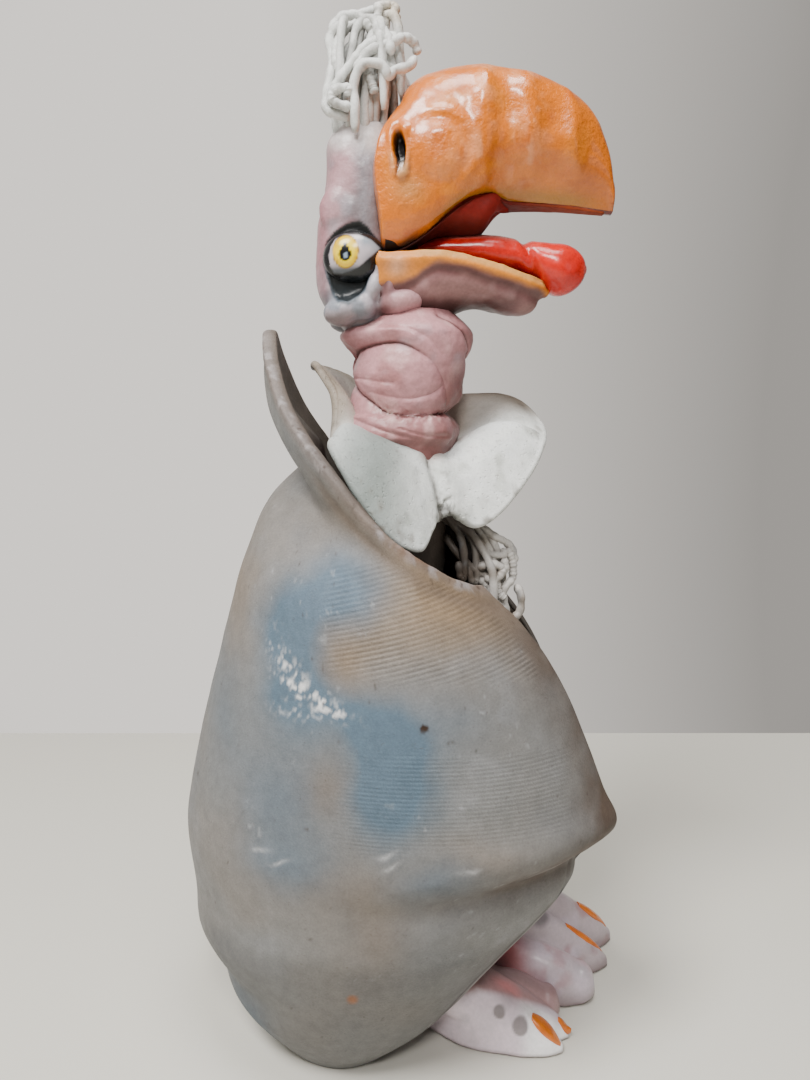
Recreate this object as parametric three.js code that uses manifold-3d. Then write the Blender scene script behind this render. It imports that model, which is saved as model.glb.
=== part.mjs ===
// A stoneware vulture figurine, hunched in its wings as in a cloak. Millimetres, +Z up,
// the bird faces +X and its right wing is on the -Y side. The origin is on the floor,
// under the middle of the figure. Everything is one fired piece: a hollow belly and neck,
// a slab of clay wrapped round them as the wings, and a head, feet and pressed clay
// strands luted on.
import * as THREE from 'three';
import Module from 'manifold-3d';
import { ParametricGeometry } from 'three/addons/geometries/ParametricGeometry.js';
import { mergeVertices } from 'three/addons/utils/BufferGeometryUtils.js';

const wasm = await Module();
wasm.setup();

// Wings, wrapped round the body as one slab
const slab = 4.6;
const wing_height = 246;
const wing_front_height = 165;
const back_reach = 77.2;
const elbow_reach = 62;
const elbow_height = 89;
const wing_half_width = 56;
const wing_wrap = THREE.MathUtils.degToRad(150);
const rim_slope = 1.35;
const peak_round = 0.05;
const raised_edge = 41;
const raised_edge_reach = 0.75;
const raised_edge_pinch = 14;
const raised_edge_crease = 11;
const elbow_fold = 3.5;
const elbow_fold_drop = 9;
const elbow_fold_fall = 14;
const elbow_fold_width = 7;

// Belly, a hollow egg under the wings, open below
const wall = 5;
const belly_bottom = 14;
const belly_setback = 17;
const belly_lap = 2.2;

// Neck and collar
const neck_middle = -4.5;
const neck_base = 203;
const neck_length = 48;
const neck_radius = 17;
const neck_swell = 2.5;
const neck_lean = 2;
const coil_pitch = 28;
const coil_starts = 2;
const fold_depth = 2.4;
const collar_slab = 3.8;
const collar_crown = 5;
const collar_lap = 5;
const collar_reach = 47;
const collar_rise = 32;

// Head
const head_half_width = 14.5;
const head_bottom = 243;
const head_top = 307;
const head_front = -7;
const head_back = -31;
const eye_middle = -19;
const eye_height = 267;
const eye_half_length = 9.5;
const eye_half_height = 7.5;
const eye_bulge = 8;
const eye_inset = 3;
const lid_height = 5;
const bag_radius = 7;
const bag_drop = 17;

// Beak, jaw and tongue
const beak_length = 73.4;
const beak_half_width = 19.5;
const beak_crown = 323.5;
const beak_floor = 266;
const beak_wall = 4;
const beak_lap = 4;
const palate_depth = 5;
const nostril_length = 12;
const nostril_width = 4.7;
const nostril_depth = 6;
const nostril_setback = 7;
const cheek_radius = 9;
const cheek_setback = 17;
const jaw_length = 53;
const jaw_half_width = 17;
const jaw_height = 266;
const jaw_depth = 20;
const jaw_rim = 3.4;
const jaw_hollow = 0.5;
const tongue_length = 56;
const tongue_half_width = 8.8;
const tongue_height = 264;
const tongue_depth = 10.8;
const tongue_setback = 7;

// Feet
const near_foot_reach = 56;
const near_toe_height = 23;
const far_foot_reach = 82;
const far_toe_height = 32;
const sole_sink = 1;
const toe_half_width = 8.5;
const claw_half_width = 3.2;
const claw_thickness = 1.6;
const leg_radius = 11;

// Pressed clay strands
const strand_radius = 1.9;
const strand_sides = 4;
const strand_steps = 5;
const crest_strands = 16;
const crest_middle = -15;
const crest_radius = 10;
const crest_rise = 35.5;
const crest_lap = 6;
const chest_strands = 11;
const tuft_reach = 25;
const tuft_length = 36;
const tuft_half_width = 13;

// Mesh steps
const wing_steps = 36;
const wing_rows = 13;
const belly_sides = 16;
const belly_rows = 7;
const collar_steps = 32;
const fineness = 0.15;

const { lerp, clamp, smoothstep, degToRad } = THREE.MathUtils;

// A closed surface with its seams merged, as a solid.
function solid_of(geometry) {
  geometry.deleteAttribute('normal');
  geometry.deleteAttribute('uv');
  const merged = mergeVertices(geometry, 1e-3);
  const positions = merged.attributes.position;
  const corners = Array.from({ length: positions.count }, (_, i) => new THREE.Vector3().fromBufferAttribute(positions, i));
  const triangles = [];
  let volume = 0;
  for (let i = 0; i < merged.index.count; i += 3) {
    const [a, b, c] = [0, 1, 2].map((k) => merged.index.getX(i + k));
    if (a === b || b === c || c === a) continue;
    triangles.push([a, b, c]);
    volume += corners[a].dot(corners[b].clone().cross(corners[c]));
  }
  const facing_out = volume > 0 ? triangles : triangles.map(([a, b, c]) => [a, c, b]);
  return new wasm.Manifold(new wasm.Mesh({
    numProp: 3,
    vertProperties: new Float32Array(positions.array),
    triVerts: new Uint32Array(facing_out.flat()),
  }));
}

// A smooth curve through [place, value] pairs.
function through(pairs, place) {
  const last = pairs.length - 1;
  const t = clamp(place, pairs[0][0], pairs[last][0]);
  let i = 0;
  while (i < last - 1 && t > pairs[i + 1][0]) i += 1;
  const slope = (k) => {
    const low = pairs[Math.max(k - 1, 0)];
    const high = pairs[Math.min(k + 1, last)];
    return (high[1] - low[1]) / (high[0] - low[0]);
  };
  const width = pairs[i + 1][0] - pairs[i][0];
  const f = (t - pairs[i][0]) / width;
  const start = (1 + 2 * f) * (1 - f) ** 2 * pairs[i][1] + f * (1 - f) ** 2 * width * slope(i);
  const end = f ** 2 * (3 - 2 * f) * pairs[i + 1][1] + f ** 2 * (f - 1) * width * slope(i + 1);
  return start + end;
}

// A repeatable number from 0 to 1 for the nth of something.
function scatter(n) {
  const wave = Math.sin(n * 12.9898) * 43758.5453;
  return wave - Math.floor(wave);
}

// A slab whose middle surface is point(s, v), with rounded edges all round.
function slab_solid(point, thickness, steps, rows, closed_in_s) {
  const edge = 0.5 / rows;
  const rounded = (t) => Math.min(1, Math.sqrt(Math.max(0, Math.min(t, 1 - t)) / edge));
  const nudge = 1e-3;
  const place = (s, v, side) => {
    const along = point(s + nudge, v).sub(point(s - nudge, v));
    const up = point(s, v + nudge).sub(point(s, v - nudge));
    const normal = along.cross(up).normalize();
    const half = (thickness / 2) * rounded(v) * (closed_in_s ? 1 : rounded(s));
    return point(s, v).addScaledVector(normal, side * half);
  };
  return solid_of(new ParametricGeometry((u, w, target) => {
    const outer = u <= 0.5;
    target.copy(place(w, outer ? u * 2 : 2 - u * 2, outer ? 1 : -1));
  }, rows * 2, steps));
}

// A closed skin over rings: place(share, angle, open) is a point on the ring at a share of
// the length, and open is 0 where an end closes to a point.
function skin(place, sides, rows) {
  return solid_of(new ParametricGeometry((u, v, target) => {
    const row = Math.round(v * rows);
    const share = clamp((row - 1) / (rows - 2), 0, 1);
    target.copy(place(share, u * Math.PI * 2, row === 0 || row === rows ? 0 : 1));
  }, sides, rows));
}

const vector = (x, y, z) => new THREE.Vector3(x, y, z);

function ellipsoid(middle, radii, tilt = 0) {
  const turn = new THREE.Quaternion().setFromAxisAngle(vector(0, 1, 0), degToRad(tilt));
  const matrix = new THREE.Matrix4().compose(middle, turn, radii);
  return solid_of(new THREE.SphereGeometry(1, 10, 7).applyMatrix4(matrix));
}

// A round strand along a path, tapered at each end if asked.
function strand(points, radius, sides = strand_sides) {
  const outline = new THREE.Shape(Array.from({ length: sides }, (_, i) => {
    const angle = (i / sides) * Math.PI * 2;
    return new THREE.Vector2(radius * Math.cos(angle), radius * Math.sin(angle));
  }));
  const extrudePath = new THREE.CatmullRomCurve3(points);
  const settings = { steps: strand_steps, extrudePath, bevelEnabled: false };
  return solid_of(new THREE.ExtrudeGeometry(outline, settings));
}

// Outlines of the wings: reach back, reach forward and half width, by share of a height.
const back_outline = [[0, 0.6], [0.02, 0.67], [0.07, 0.8], [0.12, 0.89], [0.18, 0.95], [0.27, 0.99],
  [0.34, 1], [0.51, 0.88], [0.67, 0.74], [0.78, 0.62], [0.86, 0.6], [1, 0.61]];
const front_outline = [[0, -0.12], [0.15, 0.13], [0.44, 0.45], [0.73, 0.78], [0.98, 1], [1.1, 0.97],
  [1.44, 0.78], [1.61, 0.645], [1.75, 0.484], [1.85, 0.33], [2, 0.24], [2.2, 0.14], [2.77, 0.2]];
const width_outline = [[0, 0.48], [0.06, 0.66], [0.16, 0.84], [0.27, 0.95], [0.37, 1], [0.52, 0.97],
  [0.63, 0.87], [0.72, 0.72], [0.8, 0.68], [0.9, 0.63], [1, 0.56]];

// A level section of the wings: an open loop round the back, from one front edge to the other.
function wing_section(z) {
  const back = -back_reach * through(back_outline, z / wing_height);
  const front = elbow_reach * through(front_outline, z / elbow_height);
  const reach = (front - back) / (1 - Math.cos(wing_wrap));
  const half_width = wing_half_width * through(width_outline, z / wing_height);
  return { middle: back + reach, reach, half_width };
}

// Height of the upper edge, from the peak at the back (side 0) to the front (side 1).
function rim_height(side) {
  const away = (Math.hypot(side, peak_round) - peak_round) / (Math.hypot(1, peak_round) - peak_round);
  return wing_front_height + (wing_height - wing_front_height) * (1 - away) ** rim_slope;
}

// A point on the wings: s from the far front edge to the near one, v from hem to rim.
function wing_point(s, v) {
  const turn = clamp(s * 2 - 1, -1.01, 1.01);
  const side = Math.min(1, Math.abs(turn));
  const rim = rim_height(side);
  const z = rim * v;
  const { middle, reach, half_width } = wing_section(z);
  const crease = rim - raised_edge * Math.max(0.2, 1 - side / raised_edge_reach);
  const fade = Math.max(0, 1 - (side / raised_edge_reach) ** 2);
  const pinch = raised_edge_pinch * fade * Math.exp(-(((z - crease) / raised_edge_crease) ** 2));
  const fold_line = elbow_height - elbow_fold_drop - elbow_fold_fall * (1 - side);
  const fold = elbow_fold * smoothstep(side, 0.45, 0.85) * Math.exp(-(((z - fold_line) / elbow_fold_width) ** 2));
  const angle = turn * wing_wrap;
  return vector(
    middle - (reach - pinch - fold) * Math.cos(angle),
    -(half_width - pinch - fold) * Math.sin(angle),
    z,
  );
}

function wings() {
  return slab_solid(wing_point, slab, wing_steps, wing_rows, false);
}

// The belly follows the inside of the wings at the back and sides, and closes to the neck.
function belly_ring(z, inset) {
  const { middle, reach, half_width } = wing_section(Math.min(z, wing_front_height));
  const front = middle - reach * Math.cos(wing_wrap) - belly_setback;
  const back = middle - reach + belly_lap;
  const close = smoothstep(z, wing_front_height * 0.72, neck_base);
  return {
    middle: lerp((front + back) / 2, neck_middle, close),
    depth: lerp((front - back) / 2, neck_radius, close) - inset,
    width: lerp(half_width - belly_lap, neck_radius, close) - inset,
  };
}

function belly_skin(inset, bottom, top) {
  return skin((share, angle, open) => {
    const z = lerp(bottom, top, share);
    const { middle, depth, width } = belly_ring(z, inset);
    return vector(middle + open * depth * Math.cos(angle), open * width * Math.sin(angle), z);
  }, belly_sides, belly_rows);
}

function belly() {
  const outside = belly_skin(0, belly_bottom, neck_base + wall);
  const inside = belly_skin(wall, belly_bottom - wall, neck_base - wall);
  return outside.subtract(inside);
}

// The neck is a coil of clay folded round itself.
function neck() {
  return skin((share, angle, open) => {
    const turns = angle / (Math.PI * 2) + (share * neck_length) / coil_pitch;
    const fold = fold_depth * (Math.abs(Math.sin(turns * coil_starts * Math.PI)) - 0.6);
    const radius = open * (neck_radius + neck_swell * share + fold);
    return vector(
      neck_middle + neck_lean * share + radius * Math.cos(angle),
      radius * Math.sin(angle),
      neck_base + share * neck_length,
    );
  }, 24, 12);
}

// Outer edge of the ruffled collar: bearing from the front towards the near side, and shares
// of the collar's reach and rise.
const collar_edge = [[6, 0.96, 0.06], [22, 0.77, -0.41], [39, 0.62, -0.59], [60, 0.55, -0.5],
  [76, 0.62, -0.72], [102, 0.66, -0.13], [132, 0.64, 0.34], [172, 0.57, 0.94], [215, 0.68, 0.75],
  [265, 0.77, 0.44], [325, 0.89, 0.66], [352, 1, 0.38]];

function collar() {
  const outer = new THREE.CatmullRomCurve3(collar_edge.map(([bearing, reach, rise]) => vector(
    neck_middle + collar_reach * reach * Math.cos(degToRad(bearing)),
    -collar_reach * reach * Math.sin(degToRad(bearing)),
    neck_base + collar_rise * rise,
  )), true);
  const point = (s, v) => {
    const edge = outer.getPoint(((s % 1) + 1) % 1);
    const outward = edge.clone().sub(vector(neck_middle, 0, edge.z)).normalize();
    const root = vector(neck_middle, 0, neck_base - collar_lap * 0.4);
    root.addScaledVector(outward, neck_radius - collar_lap);
    const here = root.lerp(edge, v);
    here.z += collar_crown * 4 * v * (1 - v);
    return here;
  };
  return slab_solid(point, collar_slab, collar_steps, 4, true);
}

// The head is a narrow upright block behind the beak: its back outline and half width by height.
const nape = [[0, 0.65], [0.1, 0.87], [0.22, 1], [0.5, 1], [0.75, 0.9], [0.92, 0.89], [1, 0.77]];
const head_width = [[0, 0.75], [0.15, 0.95], [0.4, 1], [0.7, 0.94], [0.9, 0.8], [1, 0.5]];

function head() {
  return skin((share, angle, open) => {
    const back = head_back * through(nape, share);
    const middle = (head_front + back) / 2;
    const half = head_half_width * through(head_width, share);
    const cosine = Math.cos(angle);
    return vector(
      middle + open * ((head_front - back) / 2) * Math.sign(cosine) * Math.abs(cosine) ** 0.75,
      open * half * Math.sin(angle),
      lerp(head_bottom, head_top, share),
    );
  }, 16, 10);
}

// Eyeball, the heavy lid over it and the sagging bag under it, on one side.
function eye(side) {
  const ball = ellipsoid(
    vector(eye_middle, side * (head_half_width - eye_inset), eye_height),
    vector(eye_half_length, eye_bulge, eye_half_height),
  );
  const bag = ellipsoid(
    vector(eye_middle - bag_radius * 0.2, side * (head_half_width - eye_inset * 1.35), eye_height - bag_drop),
    vector(bag_radius * 1.45, bag_radius, bag_radius * 0.95),
    -8,
  );
  const lid = ellipsoid(
    vector(
      eye_middle - eye_half_length * 0.1,
      side * (head_half_width - eye_inset * 1.5),
      eye_height + eye_half_height * 0.75,
    ),
    vector(eye_half_length * 1.25, eye_bulge * 1.06, lid_height),
    12,
  );
  return [ball, bag, lid];
}

// Outlines of the upper beak, by share of its length.
const beak_top = [[0, 0.8], [0.06, 0.88], [0.18, 0.955], [0.4, 1], [0.65, 0.96], [0.82, 0.87],
  [0.92, 0.76], [0.975, 0.62], [1, 0.44]];
const beak_edge = [[0, 0.02], [0.07, 0.02], [0.2, 0.1], [0.36, 0.24], [0.5, 0.29], [0.75, 0.29], [1, 0.26]];
const beak_width = [[0, 0.92], [0.15, 1], [0.4, 0.93], [0.7, 0.68], [0.9, 0.4], [1, 0.2]];
const beak_root = head_front - beak_lap;

function beak_skin(inset) {
  const depth = beak_crown - beak_floor;
  return skin((share, angle, open) => {
    const top = beak_floor + depth * through(beak_top, share) - inset;
    const low = beak_floor + depth * through(beak_edge, share) - inset;
    const half = beak_half_width * through(beak_width, share) - inset;
    const cosine = Math.cos(angle);
    const sine = Math.sin(angle);
    const square = sine < 0 ? 0.5 : 0.8;
    return vector(
      beak_root + (beak_length - inset) * share,
      open * half * Math.sign(cosine) * Math.abs(cosine) ** square,
      (top + low) / 2 + open * ((top - low) / 2) * Math.sign(sine) * Math.abs(sine) ** square,
    );
  }, 18, 12);
}

function beak() {
  const depth = beak_crown - beak_floor;
  const hollow = skin((share, angle, open) => {
    const low = beak_floor + depth * through(beak_edge, share);
    const half = Math.max(palate_depth / 5, beak_half_width * through(beak_width, share) - beak_wall);
    const rise = palate_depth * smoothstep(share, 0.12, 0.45);
    return vector(
      beak_root + (beak_length - beak_wall) * share,
      open * half * Math.cos(angle),
      low + open * rise * Math.sin(angle),
    );
  }, 10, 7);
  const nostrils = [-1, 1].map((side) => ellipsoid(
    vector(beak_root + nostril_setback, side * beak_half_width, lerp(beak_floor, beak_crown, 0.49)),
    vector(nostril_width / 2, nostril_depth, nostril_length / 2),
    -14,
  ));
  const bulges = [-1, 1].map((side) => ellipsoid(
    vector(
      beak_root + cheek_setback,
      side * (beak_half_width - cheek_radius * 0.67),
      lerp(beak_floor, beak_crown, 0.49),
    ),
    vector(cheek_radius, cheek_radius * 0.95, cheek_radius),
  ));
  const full = bulges.reduce((body, bulge) => body.add(bulge), beak_skin(0));
  return nostrils.reduce((body, hole) => body.subtract(hole), full.subtract(hollow));
}

// The lower jaw is a scoop with a raised rim.
const jaw_top = [[0, 0], [0.4, 0], [0.65, -0.18], [0.9, -0.4], [1, -0.45]];
const jaw_bottom = [[0, -1], [0.3, -0.95], [0.55, -0.7], [0.8, -0.8], [0.93, -0.75], [1, -0.55]];
const jaw_width = [[0, 1], [0.4, 0.93], [0.7, 0.75], [0.9, 0.5], [1, 0.15]];

function jaw() {
  const scoop = (inset, deep) => skin((share, angle, open) => {
    const top = jaw_height + jaw_depth * through(jaw_top, share);
    const low = jaw_height + jaw_depth * through(jaw_bottom, share);
    const half = jaw_half_width * through(jaw_width, share) - inset;
    const sine = Math.sin(angle);
    return vector(
      beak_root + lerp(inset, jaw_length - inset, share),
      open * Math.max(half, jaw_rim / 7) * Math.cos(angle),
      top + open * sine * (sine > 0 ? inset : (top - low) * deep),
    );
  }, 16, 9);
  return scoop(0, 1).subtract(scoop(jaw_rim, jaw_hollow));
}

// The tongue lies out over the jaw and ends in a drooping bulb.
const tongue_top = [[0, 0.74], [0.2, 0.97], [0.45, 1], [0.65, 0.86], [0.8, 0.76], [0.92, 0.59], [1, 0.14]];
const tongue_low = [[0, 0.37], [0.2, 0.28], [0.45, 0.2], [0.65, 0.09], [0.76, -0.37], [0.87, -0.74],
  [0.96, -0.51], [1, -0.09]];
const tongue_width = [[0, 0.75], [0.4, 0.85], [0.66, 0.72], [0.82, 1], [0.94, 0.75], [1, 0.25]];

function tongue() {
  return skin((share, angle, open) => {
    const top = tongue_height + tongue_depth * through(tongue_top, share);
    const low = tongue_height + tongue_depth * through(tongue_low, share);
    const half = tongue_half_width * through(tongue_width, share);
    return vector(
      head_front + tongue_setback + tongue_length * share,
      open * half * Math.cos(angle),
      (top + low) / 2 + open * ((top - low) / 2) * Math.sin(angle),
    );
  }, 12, 12);
}

// A toe on the floor with its claw laid along the top: outlines by share of its length.
const toe_top = [[0, 0.4], [0.3, 1], [0.6, 0.78], [0.8, 0.5], [0.93, 0.28], [1, 0.1]];
const toe_width = [[0, 0.35], [0.3, 1], [0.6, 0.92], [0.8, 0.78], [0.93, 0.5], [1, 0.2]];

function toe({ heel, tip, height, clawed }) {
  const length = Math.hypot(tip[0] - heel[0], tip[1] - heel[1]);
  const heading = Math.atan2(tip[1] - heel[1], tip[0] - heel[0]);
  const stand = (body) => body.rotate([0, 0, THREE.MathUtils.radToDeg(heading)]).translate([heel[0], heel[1], 0]);
  const flesh = skin((share, angle, open) => {
    const sine = Math.sin(angle);
    return vector(
      length * share,
      open * toe_half_width * through(toe_width, share) * Math.cos(angle),
      open * sine * (sine > 0 ? height * through(toe_top, share) : sole_sink),
    );
  }, 8, 7);
  if (!clawed) return stand(flesh);
  const claw = skin((share, angle, open) => {
    const along = lerp(0.6, 1.03, share);
    const taper = Math.sin(Math.PI * lerp(0.12, 0.95, share));
    return vector(
      length * along,
      open * claw_half_width * taper * Math.cos(angle),
      height * through(toe_top, along) + open * claw_thickness * (0.3 + taper) * Math.sin(angle),
    );
  }, 6, 6);
  return stand(flesh.add(claw));
}

// Toes of each foot: heel and tip on the floor as shares of the foot's reach, and the
// knuckle as a share of its height.
const near_toes = [
  { heel: [0.09, -0.14], tip: [0.93, -0.39], knuckle: 0.96, clawed: true },
  { heel: [0.14, -0.11], tip: [1, -0.21], knuckle: 1, clawed: true },
  { heel: [0.18, -0.07], tip: [0.91, -0.02], knuckle: 0.91, clawed: true },
];
const far_toes = [
  { heel: [0.24, 0.17], tip: [0.84, 0.06], knuckle: 0.78, clawed: false },
  { heel: [0.27, 0.22], tip: [0.94, 0.28], knuckle: 0.94, clawed: true },
  { heel: [0.29, 0.27], tip: [1, 0.48], knuckle: 1, clawed: true },
];

function foot(toes, reach, height) {
  const sized = toes.map(({ heel, tip, knuckle, clawed }) => ({
    heel: heel.map((share) => share * reach),
    tip: tip.map((share) => share * reach),
    height: knuckle * height,
    clawed,
  }));
  return [...sized.map(toe), leg(sized)];
}

// A leg from the middle of a foot up into the belly.
function leg(toes) {
  const [x, y] = [0, 1].map((k) => lerp(toes[1].heel[k], toes[1].tip[k], 0.3));
  const { middle, depth, width } = belly_ring(belly_bottom * 3, wall / 2);
  const top = vector(middle + depth * 0.55, Math.sign(y) * width * 0.5, belly_bottom * 3);
  const foot = vector(x, y, leg_radius * 0.8);
  return strand([foot, foot.clone().lerp(top, 0.5), top], leg_radius, 10);
}

// The crest: a core with strands rising round it, bending over and falling back in loops.
function crest() {
  const core = ellipsoid(
    vector(crest_middle - crest_radius * 0.1, 0, head_top + crest_rise * 0.4),
    vector(crest_radius * 0.9, crest_radius * 0.8, crest_rise * 0.62),
  );
  const strands = Array.from({ length: crest_strands }, (_, i) => {
    const turn = (i / crest_strands) * Math.PI * 2;
    const out = vector(Math.cos(turn), Math.sin(turn), 0).multiplyScalar(crest_radius);
    const root = vector(crest_middle - crest_radius * 0.2, 0, head_top - crest_lap).addScaledVector(out, 0.85);
    const height = crest_rise * (0.8 + 0.5 * scatter(i + 1));
    const over = vector(0.2 + 0.2 * scatter(i + 31), 0.3 * (scatter(i + 71) - 0.5), 0);
    over.multiplyScalar(crest_radius);
    return strand([
      root,
      root.clone().addScaledVector(out, 0.15).add(vector(0, 0, height * 0.55)),
      root.clone().addScaledVector(out, -0.1).add(over).add(vector(0, 0, height)),
      root.clone().addScaledVector(out, 0.05).addScaledVector(over, 1.9).add(vector(0, 0, height * 0.86)),
      root.clone().addScaledVector(out, 0.1).addScaledVector(over, 1.7).add(vector(0, 0, height * 0.5)),
    ], strand_radius);
  });
  return [core, ...strands];
}

// The chest tuft: strands falling forward from under the collar, over a core.
function chest_tuft() {
  const core = ellipsoid(
    vector(neck_middle + tuft_reach * 0.94, 0, neck_base - tuft_length * 0.78),
    vector(tuft_reach * 0.36, tuft_half_width * 0.85, tuft_length * 0.53),
    -35,
  );
  const strands = Array.from({ length: chest_strands }, (_, i) => {
    const across = (i / (chest_strands - 1)) * 2 - 1;
    const root = vector(
      neck_middle + neck_radius * 0.75,
      across * tuft_half_width,
      neck_base - tuft_length * 0.44,
    );
    const reach = tuft_reach * (1 - 0.36 * Math.abs(across) + 0.16 * scatter(i + 91));
    const fall = tuft_length * (0.83 + 0.25 * scatter(i + 121));
    return strand([
      root,
      root.clone().add(vector(reach * 0.55, across * tuft_half_width * 0.08, -tuft_length * 0.2)),
      root.clone().add(vector(reach, 0, -fall * 0.6)),
      root.clone().add(vector(reach * 0.98, 0, -fall)),
      root.clone().add(vector(reach * 0.8, 0, -fall * 0.8)),
    ], strand_radius);
  });
  return [core, ...strands];
}

const pieces = [
  wings(), belly(), neck(), collar(), head(), beak(), jaw(), tongue(),
  ...eye(-1), ...eye(1),
  ...foot(near_toes, near_foot_reach, near_toe_height),
  ...foot(far_toes, far_foot_reach, far_toe_height),
  ...crest(), ...chest_tuft(),
];
const joined = pieces.reduce((sum, piece) => sum.add(piece));

// Cut level with the floor. The small pockets shut in between pressed pieces are filled.
const shells = joined.trimByPlane([0, 0, 1], 0).asOriginal().simplify(fineness).decompose();
const whole = wasm.Manifold.compose(shells.filter((shell) => shell.volume() > 0));

// Stood with the origin under the middle.
const box = whole.boundingBox();
const standing = whole.translate([-(box.min[0] + box.max[0]) / 2, -(box.min[1] + box.max[1]) / 2, 0]);

const mesh = standing.getMesh();
const geometry = new THREE.BufferGeometry();
geometry.setAttribute('position', new THREE.BufferAttribute(mesh.vertProperties, 3));
geometry.setIndex(new THREE.BufferAttribute(mesh.triVerts, 1));
geometry.computeVertexNormals();

const stoneware = new THREE.MeshStandardMaterial({ color: '#a39d99', roughness: 0.7, metalness: 0 });
const vulture = new THREE.Mesh(geometry, stoneware);
vulture.name = 'vulture';

const figurine = new THREE.Group();
figurine.add(vulture);
export default figurine;
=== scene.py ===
"""Looks of a stoneware vulture figurine, hunched in its wings as in a cloak.

Lengths are in millimetres in the model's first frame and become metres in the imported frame
when each piece is made. The bird faces +X and its right wing is on the -Y side.
"""
import math

import bpy
import numpy as np
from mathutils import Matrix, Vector


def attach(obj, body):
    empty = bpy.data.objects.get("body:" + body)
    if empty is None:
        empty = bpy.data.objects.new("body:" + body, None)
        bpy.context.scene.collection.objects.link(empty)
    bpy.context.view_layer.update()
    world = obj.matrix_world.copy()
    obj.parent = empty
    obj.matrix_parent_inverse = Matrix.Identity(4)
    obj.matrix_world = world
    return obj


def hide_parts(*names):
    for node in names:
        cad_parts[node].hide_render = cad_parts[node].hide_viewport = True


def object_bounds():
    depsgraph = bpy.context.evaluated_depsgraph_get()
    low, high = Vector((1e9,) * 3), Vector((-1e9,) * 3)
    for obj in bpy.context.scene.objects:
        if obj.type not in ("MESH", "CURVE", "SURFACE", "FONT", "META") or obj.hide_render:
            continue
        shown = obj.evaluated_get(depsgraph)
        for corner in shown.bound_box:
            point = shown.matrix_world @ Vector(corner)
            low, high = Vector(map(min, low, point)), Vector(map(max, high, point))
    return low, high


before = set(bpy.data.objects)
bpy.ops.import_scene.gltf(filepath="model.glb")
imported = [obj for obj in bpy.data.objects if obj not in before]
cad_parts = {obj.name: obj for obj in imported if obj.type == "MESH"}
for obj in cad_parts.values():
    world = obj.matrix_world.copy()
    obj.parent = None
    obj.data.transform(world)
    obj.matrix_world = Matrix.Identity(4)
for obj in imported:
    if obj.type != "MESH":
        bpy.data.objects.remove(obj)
size_before = [[float(v) for v in corner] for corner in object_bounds()]

BOX_LOW, BOX_HIGH = np.array(size_before)
# Along X, from the model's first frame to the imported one
SHIFT = -2.105

# Sizes shared with the solid
SLAB = 4.6
WING_HEIGHT = 246
WING_FRONT_HEIGHT = 165
BACK_REACH = 77.2
ELBOW_REACH = 62
ELBOW_HEIGHT = 89
WING_HALF_WIDTH = 56
WING_WRAP = math.radians(150)
RIM_SLOPE = 1.35
PEAK_ROUND = 0.05
RAISED_EDGE = 41
RAISED_EDGE_REACH = 0.75
RAISED_EDGE_PINCH = 14
RAISED_EDGE_CREASE = 11
BELLY_BOTTOM = 14
NECK_MIDDLE = -4.5
NECK_BASE = 203
NECK_LENGTH = 48
NECK_RADIUS = 17
COLLAR_REACH = 47
COLLAR_RISE = 32
HEAD_FRONT = -7
HEAD_BACK = -31
HEAD_BOTTOM = 243
HEAD_TOP = 307
HEAD_HALF_WIDTH = 14.5
BEAK_ROOT = -11
BEAK_LENGTH = 73.4
BEAK_HALF_WIDTH = 19.5
BEAK_CROWN = 323.5
BEAK_FLOOR = 266
JAW_LENGTH = 53
JAW_HALF_WIDTH = 17
JAW_HEIGHT = 266
JAW_DEPTH = 20
TONGUE_LENGTH = 56
TONGUE_HALF_WIDTH = 8.8
TONGUE_HEIGHT = 264
TONGUE_DEPTH = 10.8
STRAND_RADIUS = 1.35

BACK_OUTLINE = [[0, 0.6], [0.02, 0.67], [0.07, 0.8], [0.12, 0.89], [0.18, 0.95], [0.27, 0.99],
                [0.34, 1], [0.51, 0.88], [0.67, 0.74], [0.78, 0.62], [0.86, 0.6], [1, 0.61]]
FRONT_OUTLINE = [[0, -0.12], [0.15, 0.13], [0.44, 0.45], [0.73, 0.78], [0.98, 1], [1.1, 0.97],
                 [1.44, 0.78], [1.61, 0.645], [1.75, 0.484], [1.85, 0.33], [2, 0.24], [2.2, 0.14],
                 [2.77, 0.2]]
WIDTH_OUTLINE = [[0, 0.48], [0.06, 0.66], [0.16, 0.84], [0.27, 0.95], [0.37, 1], [0.52, 0.97],
                 [0.63, 0.87], [0.72, 0.72], [0.8, 0.68], [0.9, 0.63], [1, 0.56]]


def through(pairs, place):
    """A smooth curve through [place, value] pairs."""
    table = np.array(pairs, float)
    key, value = table[:, 0], table[:, 1]
    last = len(key) - 1
    after = np.minimum(np.arange(last + 1) + 1, last)
    before = np.maximum(np.arange(last + 1) - 1, 0)
    slope = (value[after] - value[before]) / (key[after] - key[before])
    t = np.clip(np.asarray(place, float), key[0], key[-1])
    i = np.clip(np.searchsorted(key, t, side="left") - 1, 0, last - 1)
    width = key[i + 1] - key[i]
    f = (t - key[i]) / width
    start = (1 + 2 * f) * (1 - f) ** 2 * value[i] + f * (1 - f) ** 2 * width * slope[i]
    end = f ** 2 * (3 - 2 * f) * value[i + 1] + f ** 2 * (f - 1) * width * slope[i + 1]
    return start + end


def ramp(x, low, high):
    """A smooth rise from 0 at low to 1 at high, or a fall where low is the greater."""
    t = np.clip((np.asarray(x, float) - low) / (high - low), 0, 1)
    return t * t * (3 - 2 * t)


def bell(x, middle, reach):
    return np.exp(-(((x - middle) / reach) ** 2))


def spot(across, up, reach=1):
    """1 at a place, and fading around it, from the distances to it."""
    return bell(np.hypot(across, up), 0, reach)


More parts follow.
